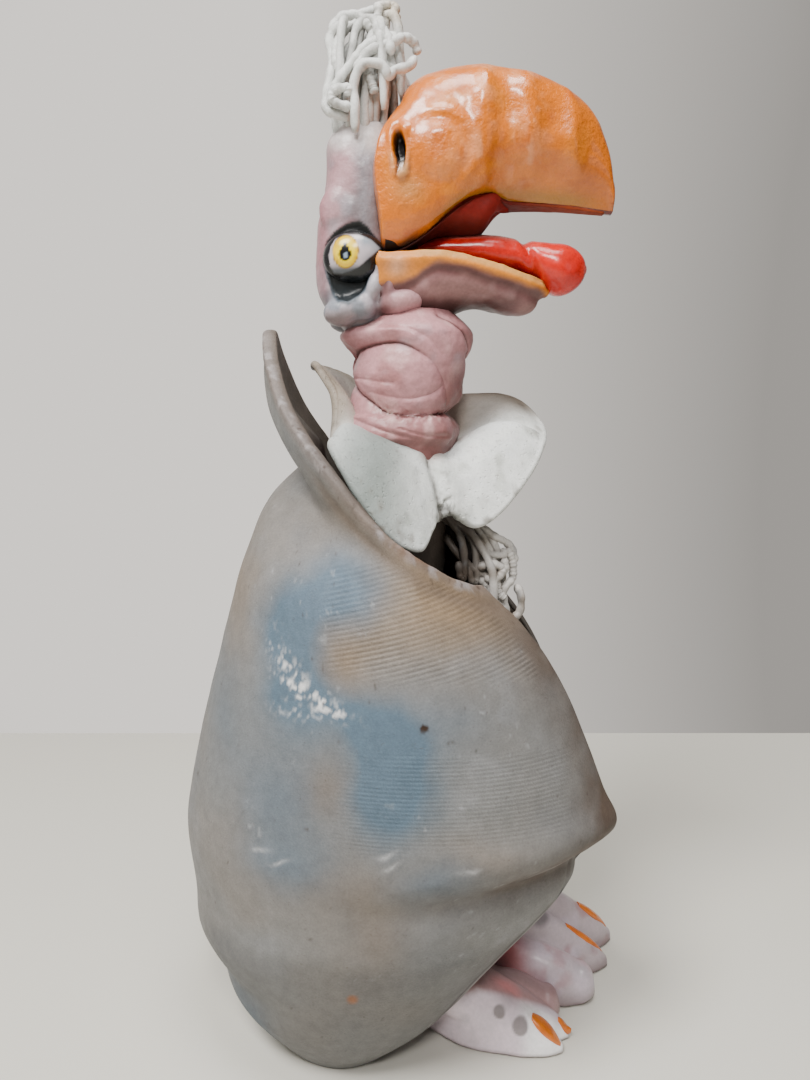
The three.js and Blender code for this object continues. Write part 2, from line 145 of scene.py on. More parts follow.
def noise(points, size, seed=0, octaves=1):
    """Smooth noise from about -1 to 1, with lumps of about the given size."""
    total, strength, whole = 0.0, 1.0, 0.0
    for octave in range(octaves):
        q = np.asarray(points, float) / (size / 2 ** octave) + 31.7 * seed + 11.3 * octave
        low = np.floor(q).astype(np.int64)
        f = q - low
        f = f * f * (3 - 2 * f)
        value = 0.0
        for corner in range(8):
            step = np.array([corner & 1, corner >> 1 & 1, corner >> 2 & 1])
            c = low + step
            h = (c[:, 0] * 73856093) ^ (c[:, 1] * 19349663) ^ (c[:, 2] * 83492791) ^ (seed * 2654435)
            h = ((h & 0xFFFFFF) * 1103515 + 12345) & 0xFFFFFF
            h = ((h ^ (h >> 11)) * 69069 + 1) & 0xFFFFFF
            weight = np.prod(np.where(step == 1, f, 1 - f), axis=1)
            value = value + weight * (h / 0x7FFFFF - 1)
        total = total + strength * value
        whole += strength
        strength *= 0.5
    return total / whole


def linear(code):
    """A colour given as six hexadecimal digits, as linear light."""
    channels = [int(code[i:i + 2], 16) / 255 for i in (0, 2, 4)]
    return np.array([c / 12.92 if c <= 0.04045 else ((c + 0.055) / 1.055) ** 2.4 for c in channels])


def flat(count, code):
    return np.tile(linear(code), (count, 1))


def painter(points, code):
    """The colours of a piece's points, a brush that lays a coat over some of them, and soft patches."""
    colours = flat(len(points), code)

    def coat(code, mask):
        cover = np.clip(mask, 0, 1)[:, None]
        colours[:] = colours * (1 - cover) + linear(code) * cover

    def patches(size, seed, octaves, low, high):
        return ramp(noise(points, size, seed, octaves), low, high)

    return colours, coat, patches


def grid_faces(rows, columns, around_rows=False, around_columns=False):
    r = np.arange(rows if around_rows else rows - 1)
    c = np.arange(columns if around_columns else columns - 1)
    r, c = np.meshgrid(r, c, indexing="ij")
    r1, c1 = (r + 1) % rows, (c + 1) % columns
    quads = np.stack([r * columns + c, r * columns + c1, r1 * columns + c1, r1 * columns + c], -1)
    return quads.reshape(-1, 4).tolist()


def outward(points, faces):
    """The faces, all turned over if they face inwards."""
    corners = [f for f in faces if len(f) == 3] + [f[:3] for f in faces if len(f) == 4]
    corners += [[f[0], f[2], f[3]] for f in faces if len(f) == 4]
    t = points[np.array(corners)]
    volume = np.einsum("ij,ij->i", t[:, 0], np.cross(t[:, 1], t[:, 2])).sum()
    return faces if volume > 0 else [f[::-1] for f in faces]


def normals_of(points, faces):
    quads = np.array([f if len(f) == 4 else [f[0], f[1], f[2], f[2]] for f in faces])
    across = np.cross(points[quads[:, 2]] - points[quads[:, 0]], points[quads[:, 3]] - points[quads[:, 1]])
    total = np.zeros_like(points)
    for k in range(4):
        np.add.at(total, quads[:, k], across)
    length = np.linalg.norm(total, axis=1, keepdims=True)
    return total / np.where(length == 0, 1, length)


def pushed(points, faces, distance):
    """The points moved outwards along the skin's normals."""
    return points + normals_of(points, faces) * distance[:, None]


def make(name, points, faces, material, colours, **marks):
    """A mesh object of the given points, with its colours and marks kept per corner."""
    metres = (np.asarray(points, float) + [SHIFT, 0, 0]) * 0.001
    metres = np.clip(metres, BOX_LOW, BOX_HIGH)
    mesh = bpy.data.meshes.new(name)
    mesh.from_pydata(metres.tolist(), [], faces)
    mesh.validate()
    paint = mesh.color_attributes.new("paint", "FLOAT_COLOR", "POINT")
    paint.data.foreach_set("color", np.concatenate([colours, np.ones((len(colours), 1))], 1).ravel())
    for key, values in marks.items():
        mark = mesh.attributes.new(key, "FLOAT", "POINT")
        mark.data.foreach_set("value", np.asarray(values, np.float32))
    mesh.shade_smooth()
    mesh.materials.append(material)
    piece = bpy.data.objects.new(name, mesh)
    bpy.context.scene.collection.objects.link(piece)
    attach(piece, "root")
    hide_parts("vulture")


def closed_tube(points, rows, sides):
    """Faces over rings of points, whose last two points close the ends."""
    faces = grid_faces(rows, sides, around_columns=True)
    last = (rows - 1) * sides
    for k in range(sides):
        k1 = (k + 1) % sides
        faces.append([k1, k, len(points) - 2])
        faces.append([last + k, last + k1, len(points) - 1])
    return outward(points, faces)


def tube_skin(place, sides, rows, start=(0, 0, 0), end=(0, 0, 0), cap_rows=6):
    """A closed skin over rings, its ends rounded off by the start and end pushes."""
    shares = np.linspace(0, 1, rows)
    angles = np.arange(sides) / sides * 2 * np.pi
    bends = np.linspace(0, np.pi / 2, cap_rows + 1)[1:]
    rings = [(0.0, math.cos(b), np.array(start, float) * math.sin(b)) for b in bends[::-1]]
    rings += [(share, 1.0, np.zeros(3)) for share in shares]
    rings += [(1.0, math.cos(b), np.array(end, float) * math.sin(b)) for b in bends]
    share = np.repeat([r[0] for r in rings], sides)
    open_by = np.repeat([r[1] for r in rings], sides)
    push = np.repeat(np.array([r[2] for r in rings]), sides, axis=0)
    angle = np.tile(angles, len(rings))
    points = place(share, angle, open_by) + push
    points = np.concatenate([points, [points[:sides].mean(0)], [points[-sides:].mean(0)]])
    share, angle = np.append(share, [0, 1]), np.append(angle, [0, 0])
    return points, closed_tube(points, len(rings), sides), share, angle


def xyz(x, y, z):
    return np.stack(np.broadcast_arrays(*[np.asarray(v, float) for v in (x, y, z)]), -1)


# Surfaces

def set_range(node, *limits):
    """The limits of a node that maps one range onto another."""
    for key, number in zip(("From Min", "From Max", "To Min", "To Max"), limits):
        node.inputs[key].default_value = number


def surface(name, roughness, grain=0.5, depth=0.05, mottle=0.08, specks=0.0, coat=0.0, ripple=None,
            comb=False, pits=0.0):
    """Fired clay with painted colour: sizes in millimetres."""
    material = bpy.data.materials.new(name)
    material.use_nodes = True
    nodes, links = material.node_tree.nodes, material.node_tree.links
    nodes.clear()
    out = nodes.new("ShaderNodeOutputMaterial")
    shader = nodes.new("ShaderNodeBsdfPrincipled")
    links.new(shader.outputs["BSDF"], out.inputs["Surface"])
    place = nodes.new("ShaderNodeTexCoord")

    def attribute(key):
        node = nodes.new("ShaderNodeAttribute")
        node.attribute_name = key
        return node

    def grainy(size, detail=3.0):
        node = nodes.new("ShaderNodeTexNoise")
        node.inputs["Scale"].default_value = 1000 / size
        node.inputs["Detail"].default_value = detail
        links.new(place.outputs["Object"], node.inputs["Vector"])
        return node.outputs["Fac"]

    def ranged(value, low, high, new_low, new_high):
        node = nodes.new("ShaderNodeMapRange")
        set_range(node, low, high, new_low, new_high)
        links.new(value, node.inputs["Value"])
        return node.outputs["Result"]

    def maths(operation, *values):
        node = nodes.new("ShaderNodeMath")
        node.operation = operation
        for i, value in enumerate(values):
            if isinstance(value, (int, float)):
                node.inputs[i].default_value = value
            else:
                links.new(value, node.inputs[i])
        return node.outputs[0]

    paint = attribute("paint").outputs["Color"]
    shade = maths("MULTIPLY", ranged(grainy(4.0, 4.0), 0.3, 0.7, 1 - mottle, 1 + mottle),
                  ranged(grainy(grain * 1.3, 2.0), 0.3, 0.7, 1 - mottle, 1 + mottle))
    if comb:
        wave = maths("SINE", maths("MULTIPLY", attribute("line").outputs["Fac"], 2 * math.pi))
        broken = ranged(grainy(1.1, 2.0), 0.35, 0.6, 0.45, 1.0)
        groove = maths("MULTIPLY", maths("MULTIPLY", wave, broken), attribute("comb").outputs["Fac"])
        shade = maths("MULTIPLY", shade, ranged(groove, -0.6, 0.1, 0.66, 1.0))
    mixed = nodes.new("ShaderNodeVectorMath")
    mixed.operation = "SCALE"
    links.new(paint, mixed.inputs[0])
    links.new(shade, mixed.inputs["Scale"])
    colour = mixed.outputs[0]
    if specks:
        dark = nodes.new("ShaderNodeMix")
        dark.data_type = "RGBA"
        speck = maths("MULTIPLY", ranged(grainy(0.7, 1.0), 0.70, 0.76, 0, 1), specks)
        links.new(speck, dark.inputs["Factor"])
        links.new(colour, dark.inputs["A"])
        dark.inputs["B"].default_value = (*linear("4a3c30"), 1)
        colour = dark.outputs["Result"]
    links.new(colour, shader.inputs["Base Color"])
    rough = ranged(grainy(3.0), 0.3, 0.7, roughness * 0.88, min(1.0, roughness * 1.12))
    links.new(rough, shader.inputs["Roughness"])
    shader.inputs["Coat Weight"].default_value = coat
    shader.inputs["Coat Roughness"].default_value = 0.2
    shader.inputs["Specular IOR Level"].default_value = 0.3
    height = maths("MULTIPLY", grainy(grain, 4.0), depth)
    if ripple:
        height = maths("ADD", height, maths("MULTIPLY", grainy(ripple, 2.0), depth * 4))
    if pits:
        pit = maths("MULTIPLY", ranged(grainy(1.1, 1.0), 0.64, 0.74, 0, 1), pits)
        height = maths("SUBTRACT", height, pit)
    if comb:
        height = maths("ADD", height, maths("MULTIPLY", groove, 0.15))
    bump = nodes.new("ShaderNodeBump")
    bump.inputs["Strength"].default_value = 1.0
    bump.inputs["Distance"].default_value = 0.001
    links.new(height, bump.inputs["Height"])
    links.new(bump.outputs["Normal"], shader.inputs["Normal"])
    return material


SLIP = surface("matt_slip", 0.62, grain=0.55, depth=0.12, mottle=0.09, specks=0.35, comb=True)
COLLAR_SLIP = surface("white_slip", 0.55, grain=0.6, depth=0.12, mottle=0.06, specks=0.12, pits=0.15)
SKIN = surface("pink_skin", 0.42, grain=0.7, depth=0.10, mottle=0.08, coat=0.12, specks=0.12)
FOOT = surface("foot_glaze", 0.34, grain=0.9, depth=0.05, mottle=0.05, coat=0.35)
BEAK = surface("orange_glaze", 0.34, grain=0.5, depth=0.09, mottle=0.06, coat=0.9, ripple=1.5)
MOUTH = surface("red_glaze", 0.28, grain=0.8, depth=0.05, mottle=0.08, coat=0.5, ripple=2.5)
EYE = surface("eye_glaze", 0.25, grain=1.5, depth=0.01, mottle=0.03, coat=0.4)
CLAY = surface("pressed_clay", 0.5, grain=0.5, depth=0.10, mottle=0.10, specks=0.2, coat=0.08)
PALATE = surface("dark_red_glaze", 0.75, grain=0.8, depth=0.06, mottle=0.1)
# The near black of the strand cores is painted shade.
CORE_SHADE = surface("core_shade_clay", 0.8, grain=0.8, depth=0.15, mottle=0.15)


# Wings

def wing_section(z):
    back = -BACK_REACH * through(BACK_OUTLINE, z / WING_HEIGHT)
    front = ELBOW_REACH * through(FRONT_OUTLINE, z / ELBOW_HEIGHT)
    reach = (front - back) / (1 - math.cos(WING_WRAP))
    return back + reach, reach, WING_HALF_WIDTH * through(WIDTH_OUTLINE, z / WING_HEIGHT)


def rim_height(side):
    away = (np.hypot(side, PEAK_ROUND) - PEAK_ROUND) / (math.hypot(1, PEAK_ROUND) - PEAK_ROUND)
    return WING_FRONT_HEIGHT + (WING_HEIGHT - WING_FRONT_HEIGHT) * (1 - away) ** RIM_SLOPE


def wing_surface(turn, z):
    """A point on the middle of the slab at a turn from -1, far front, to 1, near front."""
    side = np.minimum(1, np.abs(turn))
    rim = rim_height(side)
    middle, reach, half_width = wing_section(z)
    crease = rim - RAISED_EDGE * np.maximum(0.2, 1 - side / RAISED_EDGE_REACH)
    fade = np.maximum(0, 1 - (side / RAISED_EDGE_REACH) ** 2)
    pinch = RAISED_EDGE_PINCH * fade * bell(z, crease, RAISED_EDGE_CREASE)
    fold_line = ELBOW_HEIGHT - 10 - 12 * (1 - side)
    fold = 5.0 * ramp(side, 0.42, 0.9) * bell(z, fold_line, 6.5)
    ridge = 1.6 * ramp(side, 0.4, 0.8) * bell(z, fold_line + 12, 6.5)
    draw = pinch + fold - ridge
    angle = turn * WING_WRAP
    return xyz(middle - (reach - draw) * np.cos(angle), -(half_width - draw) * np.sin(angle), z)


def superround(t, power):
    return np.sign(np.cos(t)) * np.abs(np.cos(t)) ** power


SLIP_SHADE = 0.66


def wings():
    columns = np.concatenate([
        -1 + np.array([0, 0.0016, 0.005, 0.0095, 0.014, 0.019, 0.025]),
        np.linspace(-0.965, -0.03, 105), np.linspace(-0.02, 0.97, 262),
        1 - np.array([0.025, 0.019, 0.014, 0.0095, 0.005, 0.0016, 0]),
    ])
    corner = 1.7
    arc = np.linspace(0, np.pi, 12)[1:-1]
    outer = np.linspace(0, 1, 205)
    inner = np.linspace(1, 0, 36)
    share = np.concatenate([outer, np.ones(len(arc)), inner, np.zeros(len(arc))])
    lift = np.concatenate([0 * outer, corner * np.sin(arc) ** 0.7, 0 * inner, -corner * np.sin(arc) ** 0.7])
    across = np.concatenate([0 * outer + 1, superround(arc, 0.7), 0 * inner - 1, -superround(arc, 0.7)])
    turn = np.tile(columns, len(share))
    w = np.repeat(share, len(columns))
    lift = np.repeat(lift, len(columns))
    across = np.repeat(across, len(columns))
    side = np.abs(turn)
    along = xyz(turn * 150, 0 * turn, 0 * turn)
    rim = rim_height(side) - 0.5 + 0.7 * noise(along, 9, 3, 3) + 4 * bell(turn, 0.52, 0.2)
    hem = 0.35 + 0.35 * noise(along, 14, 4, 2)
    z = np.maximum(0.05, hem + corner + w * (rim - hem - 2 * corner) + lift)
    nudge = 0.004
    here = wing_surface(turn, z)
    normal = np.cross(wing_surface(turn + nudge, z) - wing_surface(turn - nudge, z),
                      wing_surface(turn, z + 0.5) - wing_surface(turn, z - 0.5))
    normal /= np.linalg.norm(normal, axis=1, keepdims=True)
    _, reach, half_width = wing_section(z)
    length = WING_WRAP * np.sqrt((reach ** 2 + half_width ** 2) / 2)
    edge = (1 - side) * length
    end_round = (1 - (1 - np.minimum(edge / 1.9, 1)) ** 2.6) ** (1 / 2.6)
    outside = ramp(across, -0.2, 0.6)
    thick = SLAB / 2 * (1 + 0.12 * noise(here, 22, 7, 2))
    bulge = outside * (0.7 * noise(here, 46, 1, 2) + 0.25 * noise(here, 13, 2, 3) - 0.3)
    # A step in the hem at the back
    hem_step = (turn > 0) * ramp(side, 0.02, 0.1) * ramp(side, 0.5, 0.3)
    bulge += outside * hem_step * (1.2 * bell(z, 47, 7) - 1.9 * bell(z, 31, 6) + 0.6 * bell(z, 18, 6))
    # The slab's own edge shows below the elbow, beyond a crease
    low_front = ramp(z, 12, 30) * ramp(z, 88, 74) * (turn > 0)
    band = 1.5 + 5.3 * ramp(z, 16, 58)
    crease = low_front * bell(edge, band, 0.7) * 0.55
    lean = low_front * ramp(edge, band, 0) * 0.9
    # Folded lip just under the rim near the front
    top_gap = rim - z
    lip = bell(top_gap, 7.5, 2.4) * 0.7 * (0.6 + 0.5 * noise(here, 13, 8, 2))
    worn = 0.28 * noise(here, 3.2, 9, 3) - 0.5 * ramp(noise(here, 5, 10, 2), 0.45, 0.7)
    rim_wear = ramp(top_gap, 7, 2) * worn
    out_by = across * thick * end_round + bulge - outside * (crease + lean + lip - rim_wear)
    points = here + normal * out_by[:, None]
    points[:, 2] = np.maximum(points[:, 2], 0.05)
    faces = outward(points, grid_faces(len(share), len(columns), around_rows=True))
    first = [k * len(columns) for k in range(len(share))]
    last = [k * len(columns) + len(columns) - 1 for k in range(len(share))]
    faces += outward_strip(first, points) + outward_strip(last, points)
    colours = wing_colours(points, normal, turn, z, edge, rim, across, low_front)
    line, comb = comb_lines(points, edge)
    make("wings", points, faces, SLIP, SLIP_SHADE * colours, line=line, comb=comb * outside)


def wing_colours(points, normal, turn, z, edge, rim, across, low_front):
    """Colours by place: z, edge and rim are as on the plain slab, before its relief."""
    side = np.abs(turn)
    x, y, height = points.T
    drift = 5 * np.stack([noise(points, 17, 21, 3), noise(points, 17, 22, 3)], -1)
    px, pz = x + drift[:, 0], height + drift[:, 1]

    def blot(bx, bz, rx, rz, tilt=0.0):
        c, s = math.cos(math.radians(tilt)), math.sin(math.radians(tilt))
        u = ((px - bx) * c + (pz - bz) * s) / rx
        v = (-(px - bx) * s + (pz - bz) * c) / rz
        return np.exp(-(u * u + v * v))

    near = ramp(y, 8, -14)
    colours, coat, patches = painter(points, "919190")
    coat("968c82", 0.5 * patches(34, 31, 3, -0.2, 0.5))
    coat("787b80", 0.5 * patches(24, 32, 3, 0.0, 0.6))
    coat("a3a4a6", 0.4 * patches(15, 33, 3, 0.15, 0.6))
    peach = (0.8 * blot(6, 160, 30, 12, -12) + 0.75 * blot(-22, 151, 9, 10) + 0.8 * blot(-27, 110, 12, 9)
             + 0.45 * blot(-20, 84, 18, 12) + 0.8 * blot(2, 176, 24, 9, -32) + 0.5 * blot(-58, 165, 8, 22)
             + 0.35 * blot(20, 92, 18, 7) + 0.3 * blot(-10, 62, 9, 16))
    coat("9d8467", near * np.minimum(peach, 0.9))
    blue = (1.0 * blot(-22, 168, 13, 9, 35) + 1.0 * blot(-36, 154, 9, 14, -12) + 0.9 * blot(-35, 136, 9, 11)
            + 1.3 * blot(-7, 116, 11, 17) + 0.9 * blot(-17, 131, 14, 8, -35) + 0.6 * blot(-38, 106, 15, 17)
            + 0.45 * blot(-34, 86, 16, 9) + 0.5 * blot(8, 84, 12, 8) + 0.7 * blot(-54, 16, 10, 14)
            + 0.35 * blot(-60, 128, 9, 16) + 0.3 * blot(10, 132, 13, 9))
    coat("5e7a90", near * np.minimum(blue, 0.85))
    away = ramp(y, -8, 14)
    coat("7d98ab", 0.55 * away * patches(40, 41, 3, 0.1, 0.6))
    coat("b39a86", 0.45 * away * patches(34, 42, 2, 0.15, 0.6))
    # Brown on the turned front edge of the wing is partly iron stain and partly painted shade where the
    # surface turns from view; the band in the valley under the elbow fold is painted shade.
    turned = ramp(x, 5, 20) * ramp(-normal[:, 1], 0.85, 0.3)
    turned = np.maximum(turned, bell(edge, 0, 15))
    stain_and_shade = (0.85 * turned * ramp(z, 84, 100) * ramp(z, 176, 150)
            + 0.7 * turned * ramp(z, 80, 92) * ramp(z, 116, 98)
            + 0.9 * bell(edge, 10, 17) * bell(z, 82, 9) + 0.8 * bell(edge, 34, 26) * bell(z, 79, 8))
    coat("5f4d40", np.minimum(stain_and_shade * (0.75 + 0.35 * noise(points, 7, 51, 2)), 0.92))
    rim_skin = ramp(rim - z, 5.5, 1.5)
    coat("8d7d75", 0.6 * rim_skin)
    coat("bdb6b6", rim_skin * 0.7 * patches(3.0, 52, 3, 0.05, 0.45))
    coat("54433a", rim_skin * 0.7 * patches(1.8, 53, 2, 0.4, 0.7))
    under_rim = bell(rim - z, 8, 3.0) * (turn > 0) * ramp(side, 0.3, 0.5)
    coat("7b6a5c", 0.6 * under_rim)
    coat("8a5c3c", near * 0.75 * np.minimum(blot(1, 178, 7, 2.4, -30) + blot(12, 173, 4, 2, -30), 1))
    arc = (blot(-38, 146, 3.5, 7, 20) + blot(-32, 139, 8, 4, -28) + blot(-25, 133.5, 6, 2.6, -20)
           + 0.5 * blot(-35, 132, 6, 3))
    chalk = np.minimum(arc, 1) * ramp(noise(points, 1.3, 54, 3) + 0.3 * arc, 0.16, 0.5)
    nicked = ((-38, 89), (-8, 95), (17, 87), (-44, 92), (-6, 92))
    nicks = sum(blot(*place, 2.6, 0.6, 20) for place in nicked)
    coat("ffffff", near * np.minimum(chalk + 0.4 * nicks, 1))
    spots = patches(1.9, 55, 1, 0.76, 0.9) * patches(26, 56, 2, -0.1, 0.4)
    coat("d9dde0", 0.3 * spots)
    flecks = patches(1.5, 58, 1, 0.84, 0.95)
    coat("4c3d33", 0.6 * flecks)
    # Darker towards the bottom of the wings: partly a darker band of colour, partly painted shade where the
    # slab curves under.
    low_band_and_shade = ramp(z + 2 * noise(points, 12, 59, 2), 59, 50) * ramp(turn, 0.12, 0.3)
    coat("5e5c59", 0.42 * low_band_and_shade)
    coat("3c2a1e", near * ramp(np.hypot(x - 2.4, (height - 131) * 1.2), 1.7, 1.0))
    coat("a9662f", near * 0.7 * ramp(np.hypot(x + 19, (height - 42) * 0.9), 2.4, 0.8))
    facing = -normal[:, 1] + 0.02 * noise(points, 9, 80, 2)
    low_front = low_front * ramp(across, -0.2, 0.6) * ramp(x, 0, 12)
    coat("b3aca9", low_front * ramp(facing, 0.62, 0.55) * 0.8)
    # A dark line of painted shade along the crease before the slab's edge.
    coat("3a3431", low_front * bell(facing, 0.63, 0.022) * 0.7)
    # The inner face is a darker tan, partly its own colour and partly painted shade, and grows darker further
    # down with painted shade inside the wing.
    inside = ramp(across, 0.2, -0.5)
    coat("766b61", 0.8 * inside)
    coat("3d342d", inside * 0.75 * ramp(z, 225, 165))
    return colours


def comb_lines(points, edge):
    """Pressed lines of the comb on the near side: a phase in turns, and where they show."""
    x, y, height = points.T
    rise = np.tan(np.radians(11.5))
    upper = ramp(x, -28, -22) * ramp(edge, 7, 13) * ramp(height, 141 - 0.10 * x, 147 - 0.10 * x)
    upper *= ramp(height, 177 - 0.42 * np.maximum(x + 8, 0), 171 - 0.42 * np.maximum(x + 8, 0))
    lower = ramp(x, -26, -14) * ramp(x, 52, 42) * ramp(height, 92, 98)
    lower *= ramp(height, 126 - 0.1 * x, 120 - 0.1 * x)
    parting = 134 - 0.06 * x
    line = np.where(height > parting, (height - rise * x) / 1.4, (height + 0.04 * x) / 1.25)
    patchy = 0.65 + 0.5 * noise(points, 12, 57, 2)
    comb = 0.5 * upper * (0.75 + 0.4 * noise(points, 9, 60, 2)) + 0.3 * lower * patchy
    return line, comb * ramp(y, -6, -18)


def outward_strip(loop, points):
    """Faces across the flat end of a closed loop whose two halves face each other."""
    faces = []
    low, high = 0, len(loop) - 1
    while high - low > 2:
        faces.append([loop[low], loop[low + 1], loop[high - 1], loop[high]])
        low += 1
        high -= 1
    if high - low == 2:
        faces.append([loop[low], loop[low + 1], loop[high]])
    centre = points.mean(0)
    turned = []
    for f in faces:
        a, b, c = points[f[0]], points[f[1]], points[f[2]]
        towards = np.cross(b - a, c - a) @ (a - centre)
        turned.append(f if towards > 0 else f[::-1])
    return turned


# Belly and neck

def belly():
    def place(share, angle, open_by):
        z = BELLY_BOTTOM + share * (NECK_BASE - 10 - BELLY_BOTTOM)
        middle, reach, half_width = wing_section(np.minimum(z, WING_FRONT_HEIGHT))
        front = middle - reach * math.cos(WING_WRAP) - 17
        back = middle - reach + 2.2
        close = ramp(z, WING_FRONT_HEIGHT * 0.72, NECK_BASE - 16)
        centre = (front + back) / 2 * (1 - close) + NECK_MIDDLE * close
        depth = (front - back) / 2 * (1 - close) + NECK_RADIUS * close - 0.3
        width = (half_width - 2.2) * (1 - close) + NECK_RADIUS * close - 0.3
        return xyz(centre + open_by * depth * np.cos(angle), open_by * width * np.sin(angle), z)

    points, faces, _, _ = tube_skin(place, 96, 70, cap_rows=3)
    points = pushed(points, faces, 0.5 * noise(points, 20, 61, 2))
    colours, coat, patches = painter(points, "5a5049")
    coat("3a332d", patches(16, 62, 2, -0.2, 0.6))
    make("belly", points, faces, SLIP, colours, line=points[:, 2], comb=0 * points[:, 2])


# Creases between the twisted rolls of the neck: bearing in degrees, where -90 is the near side, with
# share of the neck's length, then depth towards the back and towards the front
NECK_CREASES = [
    ([(-262, 0.5), (-222, 0.62), (-180, 0.7), (-145, 0.75), (-113, 0.775), (-94, 0.755), (-70, 0.67),
      (-55, 0.56), (-45, 0.45), (-38, 0.35)], 2.6, 1.0),
    ([(-250, 0.66), (-210, 0.58), (-180, 0.54), (-150, 0.475), (-127, 0.405), (-108, 0.34), (-85, 0.318),
      (-60, 0.322), (-38, 0.335), (0, 0.35), (50, 0.4), (98, 0.5)], 2.2, 2.6),
    ([(-20, 0.72), (20, 0.66), (60, 0.66), (100, 0.72), (140, 0.8)], 2.4, 2.4),
    ([(-60, 0.95), (-35, 0.85), (-15, 0.72), (-5, 0.55)], 1.6, 1.8),
    ([(-128, 0.9), (-100, 0.87), (-75, 0.8), (-60, 0.7)], 0.9, 0.5),
    ([(-160, 0.56), (-140, 0.555), (-118, 0.535), (-104, 0.525)], 0.7, 0.4),
    ([(-128, 0.47), (-105, 0.44), (-85, 0.43), (-66, 0.46), (-52, 0.52)], 0.5, 0.7),
    ([(-140, 0.3), (-115, 0.25), (-92, 0.2), (-70, 0.165)], 1.0, 1.0),
    ([(-92, 0.245), (-70, 0.2), (-45, 0.19)], 0.8, 0.8),
    ([(10, 0.2), (60, 0.24), (110, 0.22), (170, 0.2)], 1.5, 1.5),
]


def above_line(bearing, share, line):
    """Distance in millimetres from a line drawn on the neck, positive above it."""
    around = NECK_RADIUS * 1.08 * math.pi / 180
    path = open_spline(line, 6 * len(line))
    nearest = np.full(len(bearing), 1e9)
    signed = nearest.copy()
    for (b0, h0), (b1, h1) in zip(path[:-1], path[1:]):
        along, up = (b1 - b0) * around, (h1 - h0) * NECK_LENGTH
        px, py = (bearing - b0) * around, (share - h0) * NECK_LENGTH
        t = np.clip((px * along + py * up) / (along * along + up * up), 0, 1)
        dx, dy = px - t * along, py - t * up
        gap = np.hypot(dx, dy)
        signed = np.where(gap < nearest, gap * np.where(along * dy - up * dx < 0, -1, 1), signed)
        nearest = np.minimum(nearest, gap)
    return signed


def neck():
    def relief(share, bearing):
        depth, dark = 0.0, 0.0
        for line, back_depth, front_depth in NECK_CREASES:
            deep = back_depth + (front_depth - back_depth) * ramp(bearing, -112, -62)
            for whole_turn in (-360, 0, 360):
                gap = above_line(bearing + whole_turn, share, line)
                reach = 2.6 + 1.6 * deep
                shoulder = 1 - np.sqrt(1 - np.clip(1 - gap / reach, 0, 1) ** 2)
                shape = np.where(gap > 0, shoulder, np.exp(gap / (0.5 + 0.7 * deep)))
                depth = np.maximum(depth, deep * shape) + 0.15 * np.minimum(depth, deep * shape)
                # dark: how much painted shade lies along each crease
                dark = np.maximum(dark, np.minimum(1, deep / 2) * np.exp(-np.abs(gap) / 1.1))
        return depth, dark

    def place(share, angle, open_by):
        bearing = np.degrees(np.angle(np.exp(1j * angle)))
        depth, _ = relief(share, bearing)
        lump = 5.0 * bell(share, 0.84, 0.09) * bell(np.abs(bearing), 172, 34)
        pinch = 2.4 * bell(share, 0.34, 0.06) * bell(bearing, -5, 32)
        step = 1.6 * ramp(share, 0.335, 0.31) * ramp(share, 0.12, 0.18) * ramp(bearing, -32, -38)
        step *= ramp(bearing, -170, -140)
        swell = 1.2 * bell(share, 0.56, 0.13) * bell(bearing, -110, 45) + 1.2 * bell(share, 0.22, 0.08)
        swell += 1.4 * bell(share, 0.75, 0.14) * bell(bearing, -30, 50)
        taper = 1 - 0.42 * ramp(share, 0.84, 1.04)
        radius = open_by * taper * (NECK_RADIUS + 0.9 + 1.3 * share - depth + lump + step + swell - pinch)
        return xyz(NECK_MIDDLE - 0.9 + 6.0 * share + radius * np.cos(angle), radius * np.sin(angle),
                   NECK_BASE - 1 + share * (NECK_LENGTH + 1))

    points, faces, share, angle = tube_skin(place, 270, 172, start=(0, 0, -7))
    bearing = np.degrees(np.angle(np.exp(1j * angle)))
    _, dark = relief(share, bearing)
    torn = np.abs(above_line(bearing, share, NECK_CREASES[1][0]))
    crack = np.exp(-torn / 1.3) * ramp(bearing, -135, -115) * ramp(bearing, -25, -40)
    jag = crack * noise(points, 1.8, 71, 3)
    rough = 0.5 * noise(points, 8, 72, 3) + 0.18 * noise(points, 2.2, 73, 2) + 1.3 * jag
    points = pushed(points, faces, rough)
    colours, coat, patches = painter(points, "b58488")
    coat("93605f", 0.7 * patches(10, 74, 3, -0.15, 0.5))
    # Darker towards the base: painted shade.
    coat("8d6160", 0.55 * ramp(share, 0.5, 0.2))
    coat("a898a0", 0.55 * patches(9, 75, 3, 0.1, 0.6))
    coat("cfa7a6", 0.6 * patches(6, 76, 2, 0.2, 0.7))
    # Painted shadow from the beak and jaw on the front of the neck.
    coat("6d4440", 0.75 * ramp(bearing, -75, -30) * ramp(bearing, 60, 0) * ramp(share, 0.75, 0.5))
    coat("80534f", 0.45 * ramp(bearing, -70, -25) * ramp(share, 0.6, 0.9))
    # Painted shade in the creases between the rolls.
    coat("4a2522", 0.85 * ramp(dark, 0.4, 0.95))
    coat("c9b1aa", 0.75 * crack * patches(1.5, 77, 2, 0.0, 0.45))
    # Painted shade at the foot of the neck, inside the collar.
    coat("6d4440", 0.5 * ramp(share, 0.2, 0.14))
    make("neck", points, faces, SKIN, colours)


